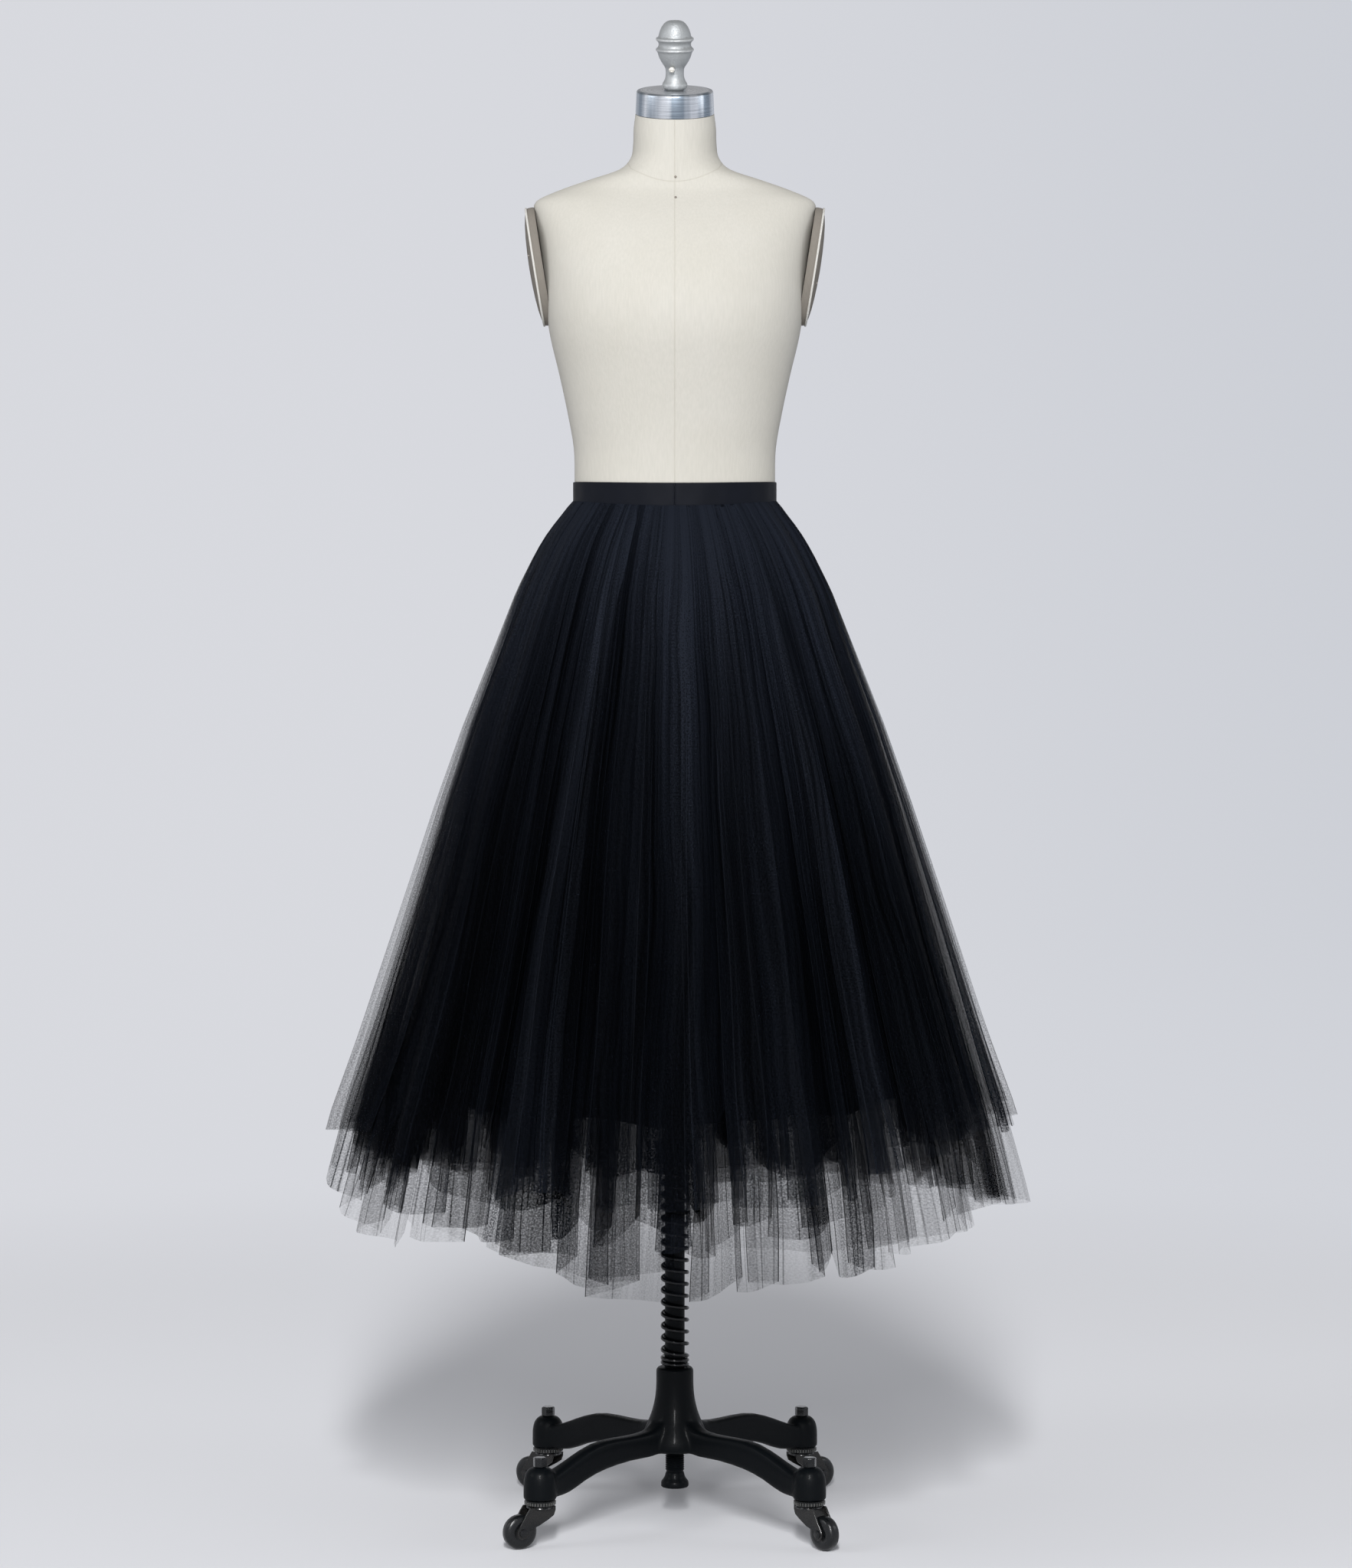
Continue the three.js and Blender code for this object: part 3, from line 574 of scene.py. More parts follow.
lining_columns, lining_rows = 320, 40
lining_turn = turns_round(lining_columns)
lining_hem = quarter_blend(lining_turn, 0.522, 0.508, 0.526, 0.511) \
    + 0.003 * np.sin(9 * lining_turn) + 0.002 * np.sin(17 * lining_turn + 1)
lining_points = []
for share in np.linspace(0, 1, lining_rows) ** 1.15:
    z = seam_height(lining_turn) + (lining_hem - seam_height(lining_turn)) * share
    ripple = bell_at("fold", z) * (0.2 * fold_wave_at(lining_turn)
                                   + 0.16 * np.sin(26 * lining_turn + 3 * z)
                                   + 0.08 * np.sin(41 * lining_turn + 2 - 2 * z))
    inwards = bell_at("lining", bell_level(lining_turn, z)) + slack(lining_turn, z)
    lining_points.append(hang(lining_turn, z, inwards, ripple))
lining_points = np.array(lining_points)
lining_cloth, tree, shader = new_finish("lining_cloth", 0.85, 0.03)
grain = noise(tree, own_place(tree), 900.0)
shade = mixed_colour(tree, grain, (0.0016, 0.0019, 0.0030), (0.0036, 0.0043, 0.0070))
relieved(tree, shader, shade, grain, 0.3, 0.0004)
lining = mesh_piece("lining_cloth_hung", lining_points.reshape(-1, 3),
                    ring_faces(lining_rows, lining_columns), lining_cloth)
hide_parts("lining")
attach(lining, "form")


# ---- Waistband -----------------------------------------------------------------------
# A folded band of smooth matt black cloth in two halves, seamed at centre front and closed
# at centre back. It is turned under along both edges, which are a little thicker.
band_half_width, band_half_depth = 0.1214, 0.0924
band_low, band_high, band_wall = 1.2110, 1.2350, 0.0020
half_gap = 0.00002   # half the gap where the two halves meet
tucked = 0.006       # turn angle over which each end curls in
# Across the band, from its lower inside edge round the outside: how high, how far out.
band_section = [(0.0, -1.0), (0.0, -0.35), (0.03, -0.05), (0.08, 0.10), (0.16, 0.02), (0.35, 0.0),
                (0.65, 0.0), (0.86, 0.02), (0.93, 0.06), (0.98, -0.05), (1.0, -0.35), (1.0, -1.0)]
band_cloth, tree, shader = new_finish("band_cloth", 0.62, 0.10)
shader.inputs["Sheen Weight"].default_value = 0.015
place = own_place(tree)
twill = noise(tree, stretched(tree, place, (1.0, 1.0, 2.2)), 1400.0)
shade = mixed_colour(tree, maths(tree, "MULTIPLY_ADD", twill, 0.5, noise(tree, place, 26.0)),
                     (0.0010, 0.0015, 0.0030), (0.0028, 0.0038, 0.0072))
relieved(tree, shader, shade, twill, 0.35, 0.0003)
for side, start in (("left", math.pi / 2), ("right", -math.pi / 2)):
    slit = half_gap / band_half_width
    turns = np.linspace(start + slit, start + math.pi - slit, 73)
    turns = np.sort(np.append(turns, [turns[0] + tucked, turns[-1] - tucked]))
    points = []
    for turn in turns:
        front = max(0.0, -math.sin(turn)) ** 2
        low, high = band_low - front_dip * front, band_high - 0.003 * front
        end = min(turn - turns[0], turns[-1] - turn)
        tuck = 0.0005 * max(0.0, 1 - end / tucked)   # the ends curl in at the two seams
        for height, out in band_section:
            grow = band_wall / 2 * (out - 1) - tuck
            ripple = 0.00035 * math.sin(23 * turn) * math.sin(math.pi * height)
            a, b = band_half_width + grow + ripple, band_half_depth + grow + ripple
            points.append((a * math.cos(turn), b * math.sin(turn), low + (high - low) * height))
    count = len(band_section)
    faces = ring_faces(len(turns), count)
    faces.append(tuple(range(count)))
    faces.append(tuple(reversed(range((len(turns) - 1) * count, len(turns) * count))))
    band = mesh_piece(f"waistband_{side}_cloth", points, faces, band_cloth)
    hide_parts(f"waistband_{side}")
    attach(band, "form")


# ---- Canvas torso --------------------------------------------------------------------
# The limbless body of the form: a moulded shell, padded and covered in undyed canvas
# drawn smooth, with a seam down the middle and one round the root of the leaning neck.
def row_table(names, rows):
    """Each row of numbers with these names."""
    return [dict(zip(names, row)) for row in rows]


# Level sections from the underside up: half width, depth ahead and behind, corner power,
# how far forward the middle lies, and how far the section leans forwards.
torso_sections = row_table(("z", "width", "ahead", "behind", "power", "y", "lean"), [
    (0.8600, 0.1440, 0.0925, 0.1025, 2.10, 0, 0),
    (0.8618, 0.1482, 0.0964, 0.1064, 2.10, 0, 0),
    (0.8670, 0.1505, 0.0985, 0.1085, 2.10, 0, 0),
    (0.9050, 0.1580, 0.1040, 0.1170, 2.10, 0, 0),
    (1.0000, 0.1660, 0.1120, 0.1260, 2.10, 0, 0),
    (1.0600, 0.1600, 0.1110, 0.1220, 2.10, 0, 0),
    (1.1100, 0.1470, 0.1050, 0.1130, 2.10, 0, 0),
    (1.1600, 0.1300, 0.0960, 0.1000, 2.05, 0, 0),
    (1.2020, 0.1186, 0.0896, 0.0896, 2.00, 0, 0),
    (1.2380, 0.1186, 0.0896, 0.0896, 2.00, 0, 0),
    (1.2750, 0.1195, 0.0930, 0.0910, 2.00, 0, 0),
    (1.3180, 0.1270, 0.1010, 0.0950, 2.10, 0, 0),
    (1.3620, 0.1365, 0.1130, 0.1010, 2.15, 0, 0),
    (1.4060, 0.1470, 0.1250, 0.1060, 2.20, 0, 0),
    (1.4400, 0.1520, 0.1270, 0.1090, 2.25, 0, 0),
    (1.4800, 0.1550, 0.1190, 0.1110, 2.30, 0, 0),
    (1.5200, 0.1600, 0.1010, 0.1070, 2.30, 0, 0),
    (1.5480, 0.1650, 0.0820, 0.0950, 2.30, 0, 0),
    (1.5650, 0.1640, 0.0680, 0.0820, 2.20, 0, 0),
    (1.5770, 0.1400, 0.0600, 0.0720, 2.10, 0, 0),
    (1.5900, 0.1030, 0.0572, 0.0650, 2.10, 0, 0),
    (1.6020, 0.0670, 0.0566, 0.0600, 2.00, 0, 0),
    (1.6160, 0.0525, 0.0563, 0.0560, 2.00, -0.0002, 3),
    (1.6320, 0.0492, 0.0522, 0.0505, 2.00, -0.0040, 8),
    (1.6500, 0.0485, 0.0490, 0.0480, 2.00, -0.0080, 12),
    (1.6673, 0.0463, 0.0463, 0.0463, 2.00, -0.0120, 15),
])


def eased_sections(sections, steps):
    """More sections between the given ones, on a smooth curve through all of them."""
    eased = []
    for i in range(len(sections) - 1):
        four = [sections[min(max(i + k, 0), len(sections) - 1)] for k in (-1, 0, 1, 2)]
        for step in range(steps):
            s = step / steps
            section = {}
            for key in sections[0]:
                p0, p1, p2, p3 = (row[key] for row in four)
                h1 = (four[2]["z"] - four[1]["z"]) or 1
                m1 = (p2 - p0) / max(four[2]["z"] - four[0]["z"], 1e-6) * h1
                m2 = (p3 - p1) / max(four[3]["z"] - four[1]["z"], 1e-6) * h1
                section[key] = ((2 * s ** 3 - 3 * s ** 2 + 1) * p1 + (s ** 3 - 2 * s ** 2 + s) * m1
                                + (3 * s ** 2 - 2 * s ** 3) * p2 + (s ** 3 - s ** 2) * m2)
            eased.append(section)
    return [*eased, sections[-1]]


def signed_power(value, power):
    """A power that keeps the value's sign, which squares a round outline."""
    return math.copysign(abs(value) ** power, value)


def section_ring(section, columns):
    """Points round one section. Its corner power squares the outline a little."""
    ring = []
    lean = math.radians(section["lean"])
    for t in turns_round(columns):
        c, s = math.cos(t), math.sin(t)
        power = 2 / section["power"]
        x = section["width"] * signed_power(c, power)
        reach = section["ahead"] if s < 0 else section["behind"]
        y = reach * signed_power(s, power)
        ring.append((x, section["y"] + y * math.cos(lean), section["z"] + y * math.sin(lean)))
    return ring


def capped_rings(rings):
    """Points and outward faces of a closed body through its rings, lowest first."""
    columns = len(rings[0])
    points = [p for ring in rings for p in ring]
    faces = [f[::-1] for f in ring_faces(len(rings), columns)]
    faces.append(tuple(reversed(range(columns))))
    faces.append(tuple(range((len(rings) - 1) * columns, len(rings) * columns)))
    return points, faces


least_radius = 0.00002   # so that no ring shrinks to a point


def lathe_rings(profile, columns, x=0.0, y=0.0):
    """Rings round a Z axis at this place, from radii and heights."""
    return [[(x + max(r, least_radius) * math.cos(t), y + max(r, least_radius) * math.sin(t), z)
             for t in turns_round(columns)] for r, z in profile]


def baked(piece):
    """Applies the piece's modifiers, so that it is a plain mesh."""
    bpy.context.view_layer.update()
    graph = bpy.context.evaluated_depsgraph_get()
    mesh = bpy.data.meshes.new_from_object(piece.evaluated_get(graph))
    piece.modifiers.clear()
    piece.data = mesh
    return piece


def cut_away(piece, cutters):
    """Cuts each of these closed meshes out of the piece, and removes them."""
    for cutter in cutters:
        cut = piece.modifiers.new("cut", "BOOLEAN")
        cut.operation = "DIFFERENCE"
        cut.solver = "EXACT"
        cut.object = cutter
    baked(piece)
    for cutter in cutters:
        bpy.data.objects.remove(cutter)


def plate_place(side):
    """Where an arm plate lies: its own Z points out of the shoulder and a little down."""
    turn = Matrix.Rotation(side * math.radians(99), 4, "Y")
    return Matrix.Translation((side * 0.155, 0, 1.490)) @ turn


plate_half_height, plate_half_depth = 0.070, 0.048


def oval(share, across, z):
    """A ring on an arm plate's outline, at these shares of its size."""
    return [(plate_half_height * share * math.cos(t), plate_half_depth * across * math.sin(t), z)
            for t in turns_round(72)]


def scaled(tree, colour, by):
    """A colour, made brighter or darker."""
    return add_node(tree, "ShaderNodeVectorMath", {0: colour, "Scale": by},
                    operation="SCALE").outputs["Vector"]


def canvas_finish(name, pale, dark, seams):
    """Undyed canvas: a close plain weave, a little uneven and soiled, with its seams."""
    material, tree, shader = new_finish(name, 0.88, 0.2)
    place = own_place(tree)
    slubs = noise(tree, stretched(tree, place, (500.0, 500.0, 60.0)), 1.0, 1.0)
    colour = scaled(tree, mixed_colour(tree, noise(tree, place, 9.0, 4.0, 0.6), dark, pale),
                    graded(tree, slubs, 0.3, 0.7, 0.965, 1.02))
    level = maths(tree, "ADD", noise(tree, place, 1100.0, 1.5), slubs)
    if seams:   # one down the middle, and one that curves round the root of the neck
        axes = axes_of(tree, place)
        bend = maths(tree, "MULTIPLY_ADD", maths(tree, "POWER", axes["X"], 2.0), -6.5, axes["Z"])
        neck_root = maths(tree, "SUBTRACT", bend,
                          graded(tree, axes["Y"], -0.04, 0.05, 1.5835, 1.603))
        middle, root = (graded(tree, maths(tree, "ABSOLUTE", off), 0.0, 0.0011, 1.0, 0.0)
                        for off in (axes["X"], neck_root))
        seam = maths(tree, "MAXIMUM", middle, root)
        level = maths(tree, "MULTIPLY_ADD", seam, -3.0, level)
        colour = mixed_colour(tree, maths(tree, "MULTIPLY", seam, 0.32), colour,
                              (0.30, 0.275, 0.22))
    relieved(tree, shader, colour, level, 0.35, 0.00035)
    return material


canvas = canvas_finish("undyed_canvas", (0.445, 0.431, 0.392), (0.400, 0.384, 0.337), seams=True)
torso_rings = [section_ring(section, 112) for section in eased_sections(torso_sections, 4)]
torso = mesh_piece("canvas_torso", *capped_rings(torso_rings), canvas)
cutters = []
for side in (-1, 1):
    hole = mesh_piece("armhole_cutter", *capped_rings(
        [oval(1.007, 1.01, -0.0003), oval(1.007, 1.01, 0.06)]), canvas)
    hole.data.transform(plate_place(side))
    cutters.append(hole)
bore_radius = 0.0125   # an easy fit round the pole
bore = capped_rings(lathe_rings([(bore_radius, 0.85), (bore_radius, 0.92)], 32))
cutters.append(mesh_piece("bore_cutter", *bore, canvas))
cut_away(torso, cutters)
torso.data.shade_smooth()
torso.data.set_sharp_from_angle(angle=math.radians(38))
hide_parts("form_torso")
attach(torso, "form")


# ---- Arm plates ----------------------------------------------------------------------
# An oval board closes each shoulder, crowned outside and covered in canvas that is drawn
# over its edge, where a pale piping shows. The plate's canvas is a little browner than the
# torso's, and painted much darker as painted shade.
# Painted shade: the plates' canvas is much darker than the torso's, for the shade that falls on
# them.
plate_canvas_painted_shade = canvas_finish("plate_canvas_painted_shade", (0.19, 0.172, 0.148), (0.14, 0.128, 0.110),
                             seams=False)
piping_canvas = canvas_finish("piping_canvas", (0.50, 0.49, 0.465), (0.42, 0.41, 0.375),
                              seams=False)
piping_rows, piping_columns, piping_radius = 96, 10, 0.0013
# Share of the plate's size, and height over its inner face.
plate_profile = [(0.985, 0.0), (1.0, 0.0012), (1.0, 0.0066), (0.992, 0.0088), (0.975, 0.0100),
                 (0.945, 0.0110), (0.86, 0.0126), (0.72, 0.0143), (0.52, 0.0157), (0.3, 0.0166),
                 (0.1, 0.0170)]
for name, side in (("arm_plate_left", -1), ("arm_plate_right", 1)):
    board = mesh_piece(f"{name}_board", *capped_rings([oval(s, s, z) for s, z in plate_profile]),
                       plate_canvas_painted_shade)
    board.data.transform(plate_place(side))
    board.data.set_sharp_from_angle(angle=math.radians(50))
    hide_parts(name)
    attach(board, "form")
    points = []
    for t in turns_round(piping_rows):
        for k in turns_round(piping_columns):
            out = piping_radius * math.cos(k)
            points.append(((plate_half_height * 0.992 + out) * math.cos(t),
                           (plate_half_depth * 0.992 + out) * math.sin(t),
                           0.0102 + piping_radius * math.sin(k)))
    faces = [tuple(v % len(points) for v in face)
             for face in ring_faces(piping_rows + 1, piping_columns)]
    piping = mesh_piece(f"{name}_piping", points, faces, piping_canvas)
    piping.data.transform(plate_place(side))
    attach(piping, "form")


# ---- Neck cap ------------------------------------------------------------------------
# A turned and brushed steel cap closes the neck, square to its leaning top. It is flat on
# top, with a small well in the middle for the finial. Its colour carries painted reflections.
def rounded_profile(profile, times=2):
    """Takes the corners off a profile, keeping its ends."""
    for _ in range(times):
        cut = [profile[0]]
        for (r0, z0), (r1, z1) in zip(profile, profile[1:]):
            cut.append((0.75 * r0 + 0.25 * r1, 0.75 * z0 + 0.25 * z1))
            cut.append((0.25 * r0 + 0.75 * r1, 0.25 * z0 + 0.75 * z1))
        profile = [*cut, profile[-1]]
    return profile


def turned_piece(name, profile, material, columns=72, place=None):
    """A closed body turned about Z from radii and heights, lowest first. Its UV map runs
    once round in U and along the profile in V, in metres."""
    profile = [(max(r, least_radius), z) for r, z in profile]
    piece = mesh_piece(name, *capped_rings(lathe_rings(profile, columns)), material)
    steps = [math.dist(a, b) for a, b in zip(profile, profile[1:])]
    along = [0.0, *np.cumsum(steps)]
    turned = piece.data.uv_layers.new(name="turned")
    for polygon in piece.data.polygons:
        shares = [(v % columns) / columns for v in polygon.vertices]
        wraps = max(shares) - min(shares) > 0.5 and len(shares) == 4
        for loop, vertex, share in zip(polygon.loop_indices, polygon.vertices, shares):
            turned.data[loop].uv = (share + (1 if wraps and share < 0.5 else 0),
                                    along[vertex // columns])
    if place is not None:
        piece.data.transform(place)
    piece.data.set_sharp_from_angle(angle=math.radians(40))
    return piece


# The top of the neck, which leans forward.
head_place = Matrix.Translation((0, -0.012, 1.6673)) @ Matrix.Rotation(math.radians(15), 4, "X")
cap_radius, cap_height = 0.0463, 0.028
# Up its side: how far inside its radius, and the height; then, over its rim, how far down.
cap_profile = [(0.0, 0.0003)]
cap_profile += [(cap_radius - inside, z) for inside, z in
                ((0.0008, 0.0003), (0.0001, 0.0006), (0, 0.0016), (0.0003, 0.008))]
cap_profile += [(cap_radius - inside, cap_height - down) for inside, down in
                ((0.0011, 0.0030), (0.0014, 0.0018), (0.0021, 0.0007), (0.0036, 0.0001),
                 (0.0060, 0))]
cap_profile += [(r, cap_height - down) for r, down in
                ((0.0142, 0), (0.0130, 0.0006), (0.0128, 0.0030), (0.0, 0.0030))]
brushed_steel, tree, shader = new_finish("brushed_steel")
shader.inputs["Metallic"].default_value = 1.0
turned_uv = add_node(tree, "ShaderNodeUVMap", uv_map="turned").outputs["UV"]
# Painted reflections: wide light and dark bands round the side, and a bright top.
painted_reflection_bands = flat_noise(tree, stretched(tree, turned_uv, (15.0, 0.8, 1.0)))
fine_lines = flat_noise(tree, stretched(tree, turned_uv, (3.0, 1300.0, 1.0)))
along = axes_of(tree, turned_uv)["Y"]
painted_top_light = graded(tree, along, 0.074, 0.078, to_high=0.95)   # the top is painted one even bright tone, a painted reflection
painted_reflection_share = maths(tree, "MAXIMUM", graded(tree, painted_reflection_bands, 0.38, 0.66, to_high=0.75), painted_top_light)
shade = mixed_colour(tree, painted_reflection_share, (0.25, 0.295, 0.345), (0.84, 0.86, 0.89))
tree.links.new(graded(tree, fine_lines, 0.3, 0.7, 0.24, 0.38), shader.inputs["Roughness"])
relieved(tree, shader, scaled(tree, shade, graded(tree, fine_lines, 0.3, 0.7, 0.88, 1.1)),
         fine_lines, 0.25, 0.0001)
cap = turned_piece("steel_neck_cap", cap_profile, brushed_steel, 96, head_place)
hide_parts("neck_cap")
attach(cap, "form")


# ---- Finial and its screw ------------------------------------------------------------
# A cast and turned knob with two beads and an acorn top, in aged silver paint that shows
# the grain of the casting, held by one small screw low on its front.
finial_profile = [
    (0.0, -0.0018), (0.0098, -0.0018), (0.0104, 0.0), (0.0139, 0.0022), (0.0149, 0.0050),
    (0.0146, 0.0074), (0.0130, 0.0098), (0.0112, 0.0136), (0.0106, 0.0183), (0.0108, 0.0240),
    (0.0118, 0.0268), (0.0136, 0.0292), (0.0161, 0.0332), (0.0178, 0.0364), (0.0189, 0.0390),
    (0.0200, 0.0428), (0.0208, 0.0447), (0.0222, 0.0460), (0.0224, 0.0471), (0.0216, 0.0484),
    (0.0199, 0.0496), (0.0190, 0.0520), (0.0190, 0.0540), (0.0198, 0.0560), (0.0215, 0.0576),
    (0.0224, 0.0588), (0.0221, 0.0602), (0.0203, 0.0612), (0.0192, 0.0622), (0.0188, 0.0645),
    (0.0181, 0.0670), (0.0168, 0.0706), (0.0149, 0.0742), (0.0122, 0.0776), (0.0094, 0.0796),
    (0.0062, 0.0806), (0.0, 0.0808)]

# Marks of age on metal and paint: an edge mask, a grime mask in the hollows and a fine
# grain, each from 0 to 1, all from the place on the piece and its own corners.
age_marks, given, out = effect_group(
    "age_marks", [("Grain Scale", 700.0), ("Edge Start", 0.53), ("Edge End", 0.60)],
    ("Edges", "Grime", "Grain"))
corners = add_node(age_marks, "ShaderNodeNewGeometry").outputs["Pointiness"]
patches = noise(age_marks, given["Place"], 160.0, 4.0, 0.65)
uneven = maths(age_marks, "MULTIPLY_ADD", patches, 0.09, -0.045)
shifted = maths(age_marks, "ADD", corners, uneven)
edges = graded(age_marks, shifted, given["Edge Start"], given["Edge End"])
age_marks.links.new(edges, out["Edges"])
age_marks.links.new(graded(age_marks, shifted, 0.49, 0.43), out["Grime"])
age_marks.links.new(noise(age_marks, given["Place"], given["Grain Scale"], 3.0), out["Grain"])


def aged_finish(name, colour, edge_colour, grime_colour, roughness, metallic, grain_scale,
                grain_depth, edge_start, edge_end, coat=0.0, glare=0.5):
    """Paint or enamel over cast metal, rubbed on its edges and grimy in its hollows."""
    material, tree, shader = new_finish(name, roughness, glare)
    shader.inputs["Metallic"].default_value = metallic
    shader.inputs["Coat Weight"].default_value = coat
    shader.inputs["Coat Roughness"].default_value = 0.12
    marks = add_node(tree, "ShaderNodeGroup",
                     {"Place": own_place(tree), "Grain Scale": grain_scale,
                      "Edge Start": edge_start, "Edge End": edge_end},
                     node_tree=age_marks).outputs
    dirty = mixed_colour(tree, marks["Grime"], colour, grime_colour)
    rubbed = mixed_colour(tree, marks["Edges"], dirty, edge_colour)
    dull = graded(tree, marks["Grain"], 0.3, 0.7, roughness - 0.07, roughness + 0.13)
    tree.links.new(dull, shader.inputs["Roughness"])
    relieved(tree, shader, rubbed, marks["Grain"], 0.6, grain_depth)
    return material


silver_paint = aged_finish("silver_paint", (0.345, 0.358, 0.362), (0.60, 0.605, 0.60),
                           (0.13, 0.120, 0.105), 0.54, 0.7, 620.0, 0.00060, 0.52, 0.57)
finial_place = head_place @ Matrix.Translation((0, 0, cap_height + 0.0003))
finial = turned_piece("silver_finial", rounded_profile(finial_profile, 1), silver_paint, 80,
                      finial_place)
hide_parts("finial")
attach(finial, "form")
screw_place = head_place @ Matrix.Translation((-0.0035, -0.01205, cap_height + 0.0255)) \
    @ Matrix.Rotation(math.pi / 2, 4, "X")
worn_nickel = aged_finish("worn_nickel", (0.66, 0.63, 0.56), (0.80, 0.78, 0.72),
                         (0.26, 0.22, 0.17), 0.34, 0.7, 900.0, 0.0002, 0.52, 0.57)
screw = turned_piece("finial_set_screw",
                     [(0.0, 0.0), (0.0024, 0.0), (0.0024, 0.0012), (0.0033, 0.0014),
                      (0.0034, 0.0019), (0.0034, 0.0036), (0.0030, 0.0044), (0.0020, 0.0049),
                      (0.0, 0.0051)], worn_nickel, 32, screw_place)
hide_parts("finial_screw")
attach(screw, "form")


# ---- Dressmaking pins ----------------------------------------------------------------
# Glass-headed pins are left in the canvas: two on the front of the neck seam, and one in
# each arm plate.
pin_glass, tree, shader = new_finish("pin_glass", 0.15)
swirl = noise(tree, own_place(tree), 900.0)
tree.links.new(mixed_colour(tree, swirl, (0.10, 0.09, 0.08), (0.26, 0.23, 0.19)),
               shader.inputs["Base Color"])
pin_profile = [(0.0, -0.0016), (0.0008, -0.0014), (0.0014, -0.0008), (0.0016, 0.0),
               (0.0014, 0.0008), (0.0008, 0.0014), (0.0, 0.0016)]
on_neck = torso.ray_cast((0.0008, -0.5, 1.5890), (0, 1, 0))[1]
on_yoke = torso.ray_cast((0.0010, -0.5, 1.5640), (0, 1, 0))[1]
pin_places = [("neck", tuple(on_neck)), ("yoke", tuple(on_yoke)),
              ("left_plate", tuple(plate_place(-1) @ Vector((0.012, -0.030, 0.0148)))),
              ("right_plate", tuple(plate_place(1) @ Vector((0.020, -0.028, 0.0146))))]
for label, at in pin_places:
    pin = turned_piece(f"pin_{label}", rounded_profile(pin_profile, 1), pin_glass, 20,
                       Matrix.Translation(at))
    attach(pin, "form")


# ---- Flange, pole, foot and spring collar --------------------------------------------
# The torso stands by a round iron flange on a 24 mm steel pole, which slides in the hub. Its
# lower end is threaded for a flared foot, and a clamped collar carries it on the spring.
black_enamel = aged_finish("black_enamel", (0.0022, 0.0030, 0.0038), (0.15, 0.145, 0.135),
                           (0.006, 0.0058, 0.0052), 0.43, 0.0, 420.0, 0.0002, 0.63, 0.73, 0.03,
                           0.06)
black_steel = aged_finish("black_steel", (0.0020, 0.0024, 0.0030), (0.24, 0.235, 0.22),
                          (0.007, 0.0065, 0.006), 0.18, 0.0, 900.0, 0.0001, 0.70, 0.84, 0.25, 0.2)
pole_radius = 0.0118
thread = []
for turn in range(10):
    thread += [(0.0103, 0.0578 + 0.0026 * turn), (0.0114, 0.0591 + 0.0026 * turn)]
pole_profile = [(0.0, 0.0563), (0.0100, 0.0563), *thread, (0.0116, 0.0845),
                (pole_radius, 0.0865), (pole_radius, 0.40), (pole_radius, 0.90),
                (pole_radius - 0.0006, 0.9185), (pole_radius - 0.002, 0.9197), (0.0, 0.9197)]
foot_profile = [(0.0, 0.0375), (0.0135, 0.0375), (0.0153, 0.0378), (0.0163, 0.0388),
                (0.0165, 0.0402), (0.0163, 0.0436), (0.0156, 0.0452), (0.0138, 0.0474),
                (0.0122, 0.0502), (0.0114, 0.0530), (0.0108, 0.0552), (0.0100, 0.0560),
                (0.0, 0.0560)]
collar_low = 0.4263   # just clear of the spring
collar_profile = [(bore_radius, 0.0), (0.0212, 0.0), (0.0224, 0.0006), (0.0230, 0.0020),
                  (0.0230, 0.0120), (0.0226, 0.0126), (0.0226, 0.0134), (0.0230, 0.0140),
                  (0.0230, 0.0240), (0.0224, 0.0254), (0.0212, 0.0260), (bore_radius, 0.0260)]
flange_profile = [(bore_radius, 0.0), (0.0435, 0.0), (0.0462, 0.0008), (0.0476, 0.0024),
                  (0.0480, 0.0045), (0.0480, 0.0120), (bore_radius, 0.0120)]
turned_parts = [
    ("steel_pole", "pole", pole_profile, black_enamel, "black_enamel", "mast", 0.0),
    ("flared_foot", "pole_foot", foot_profile, black_enamel, "black_enamel", "mast", 0.0),
    ("clamp_collar", "spring_collar", collar_profile, black_enamel, "black_enamel", "mast",
     collar_low),
    ("iron_flange", "form_flange", flange_profile, black_steel, "black_steel", "form", 0.8477)]
for name, node, profile, finish, slot, body, rise in turned_parts:
    piece = turned_piece(name, profile, finish, 64, Matrix.Translation((0, 0, rise)))
    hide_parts(node)
    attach(piece, body)


# ---- Coil spring ---------------------------------------------------------------------
# A left-handed spring of stout black wire stands on the hub and carries the collar. Its
# end coils are closed. The real spring shortens as the pole sinks; this one is built at one
# length.
def node_tree(name, inputs):
    """A Geometry Nodes tree with these named inputs, the sockets that it reads and those
    that it fills."""
    tree = bpy.data.node_groups.new(name, "GeometryNodeTree")
    for label, kind in inputs:
        tree.interface.new_socket(label, in_out="INPUT", socket_type=f"NodeSocket{kind}")
    tree.interface.new_socket("Geometry", in_out="OUTPUT", socket_type="NodeSocketGeometry")
    return (tree, add_node(tree, "NodeGroupInput").outputs,
            add_node(tree, "NodeGroupOutput").inputs)


def put_out(tree, geometry, material, out):
    """Makes grown geometry real, gives it its material and puts it out."""
    plain = add_node(tree, "GeometryNodeRealizeInstances", {"Geometry": geometry})
    painted = add_node(tree, "GeometryNodeSetMaterial",
                       {"Geometry": plain.outputs["Geometry"], "Material": material})
    tree.links.new(painted.outputs["Geometry"], out["Geometry"])


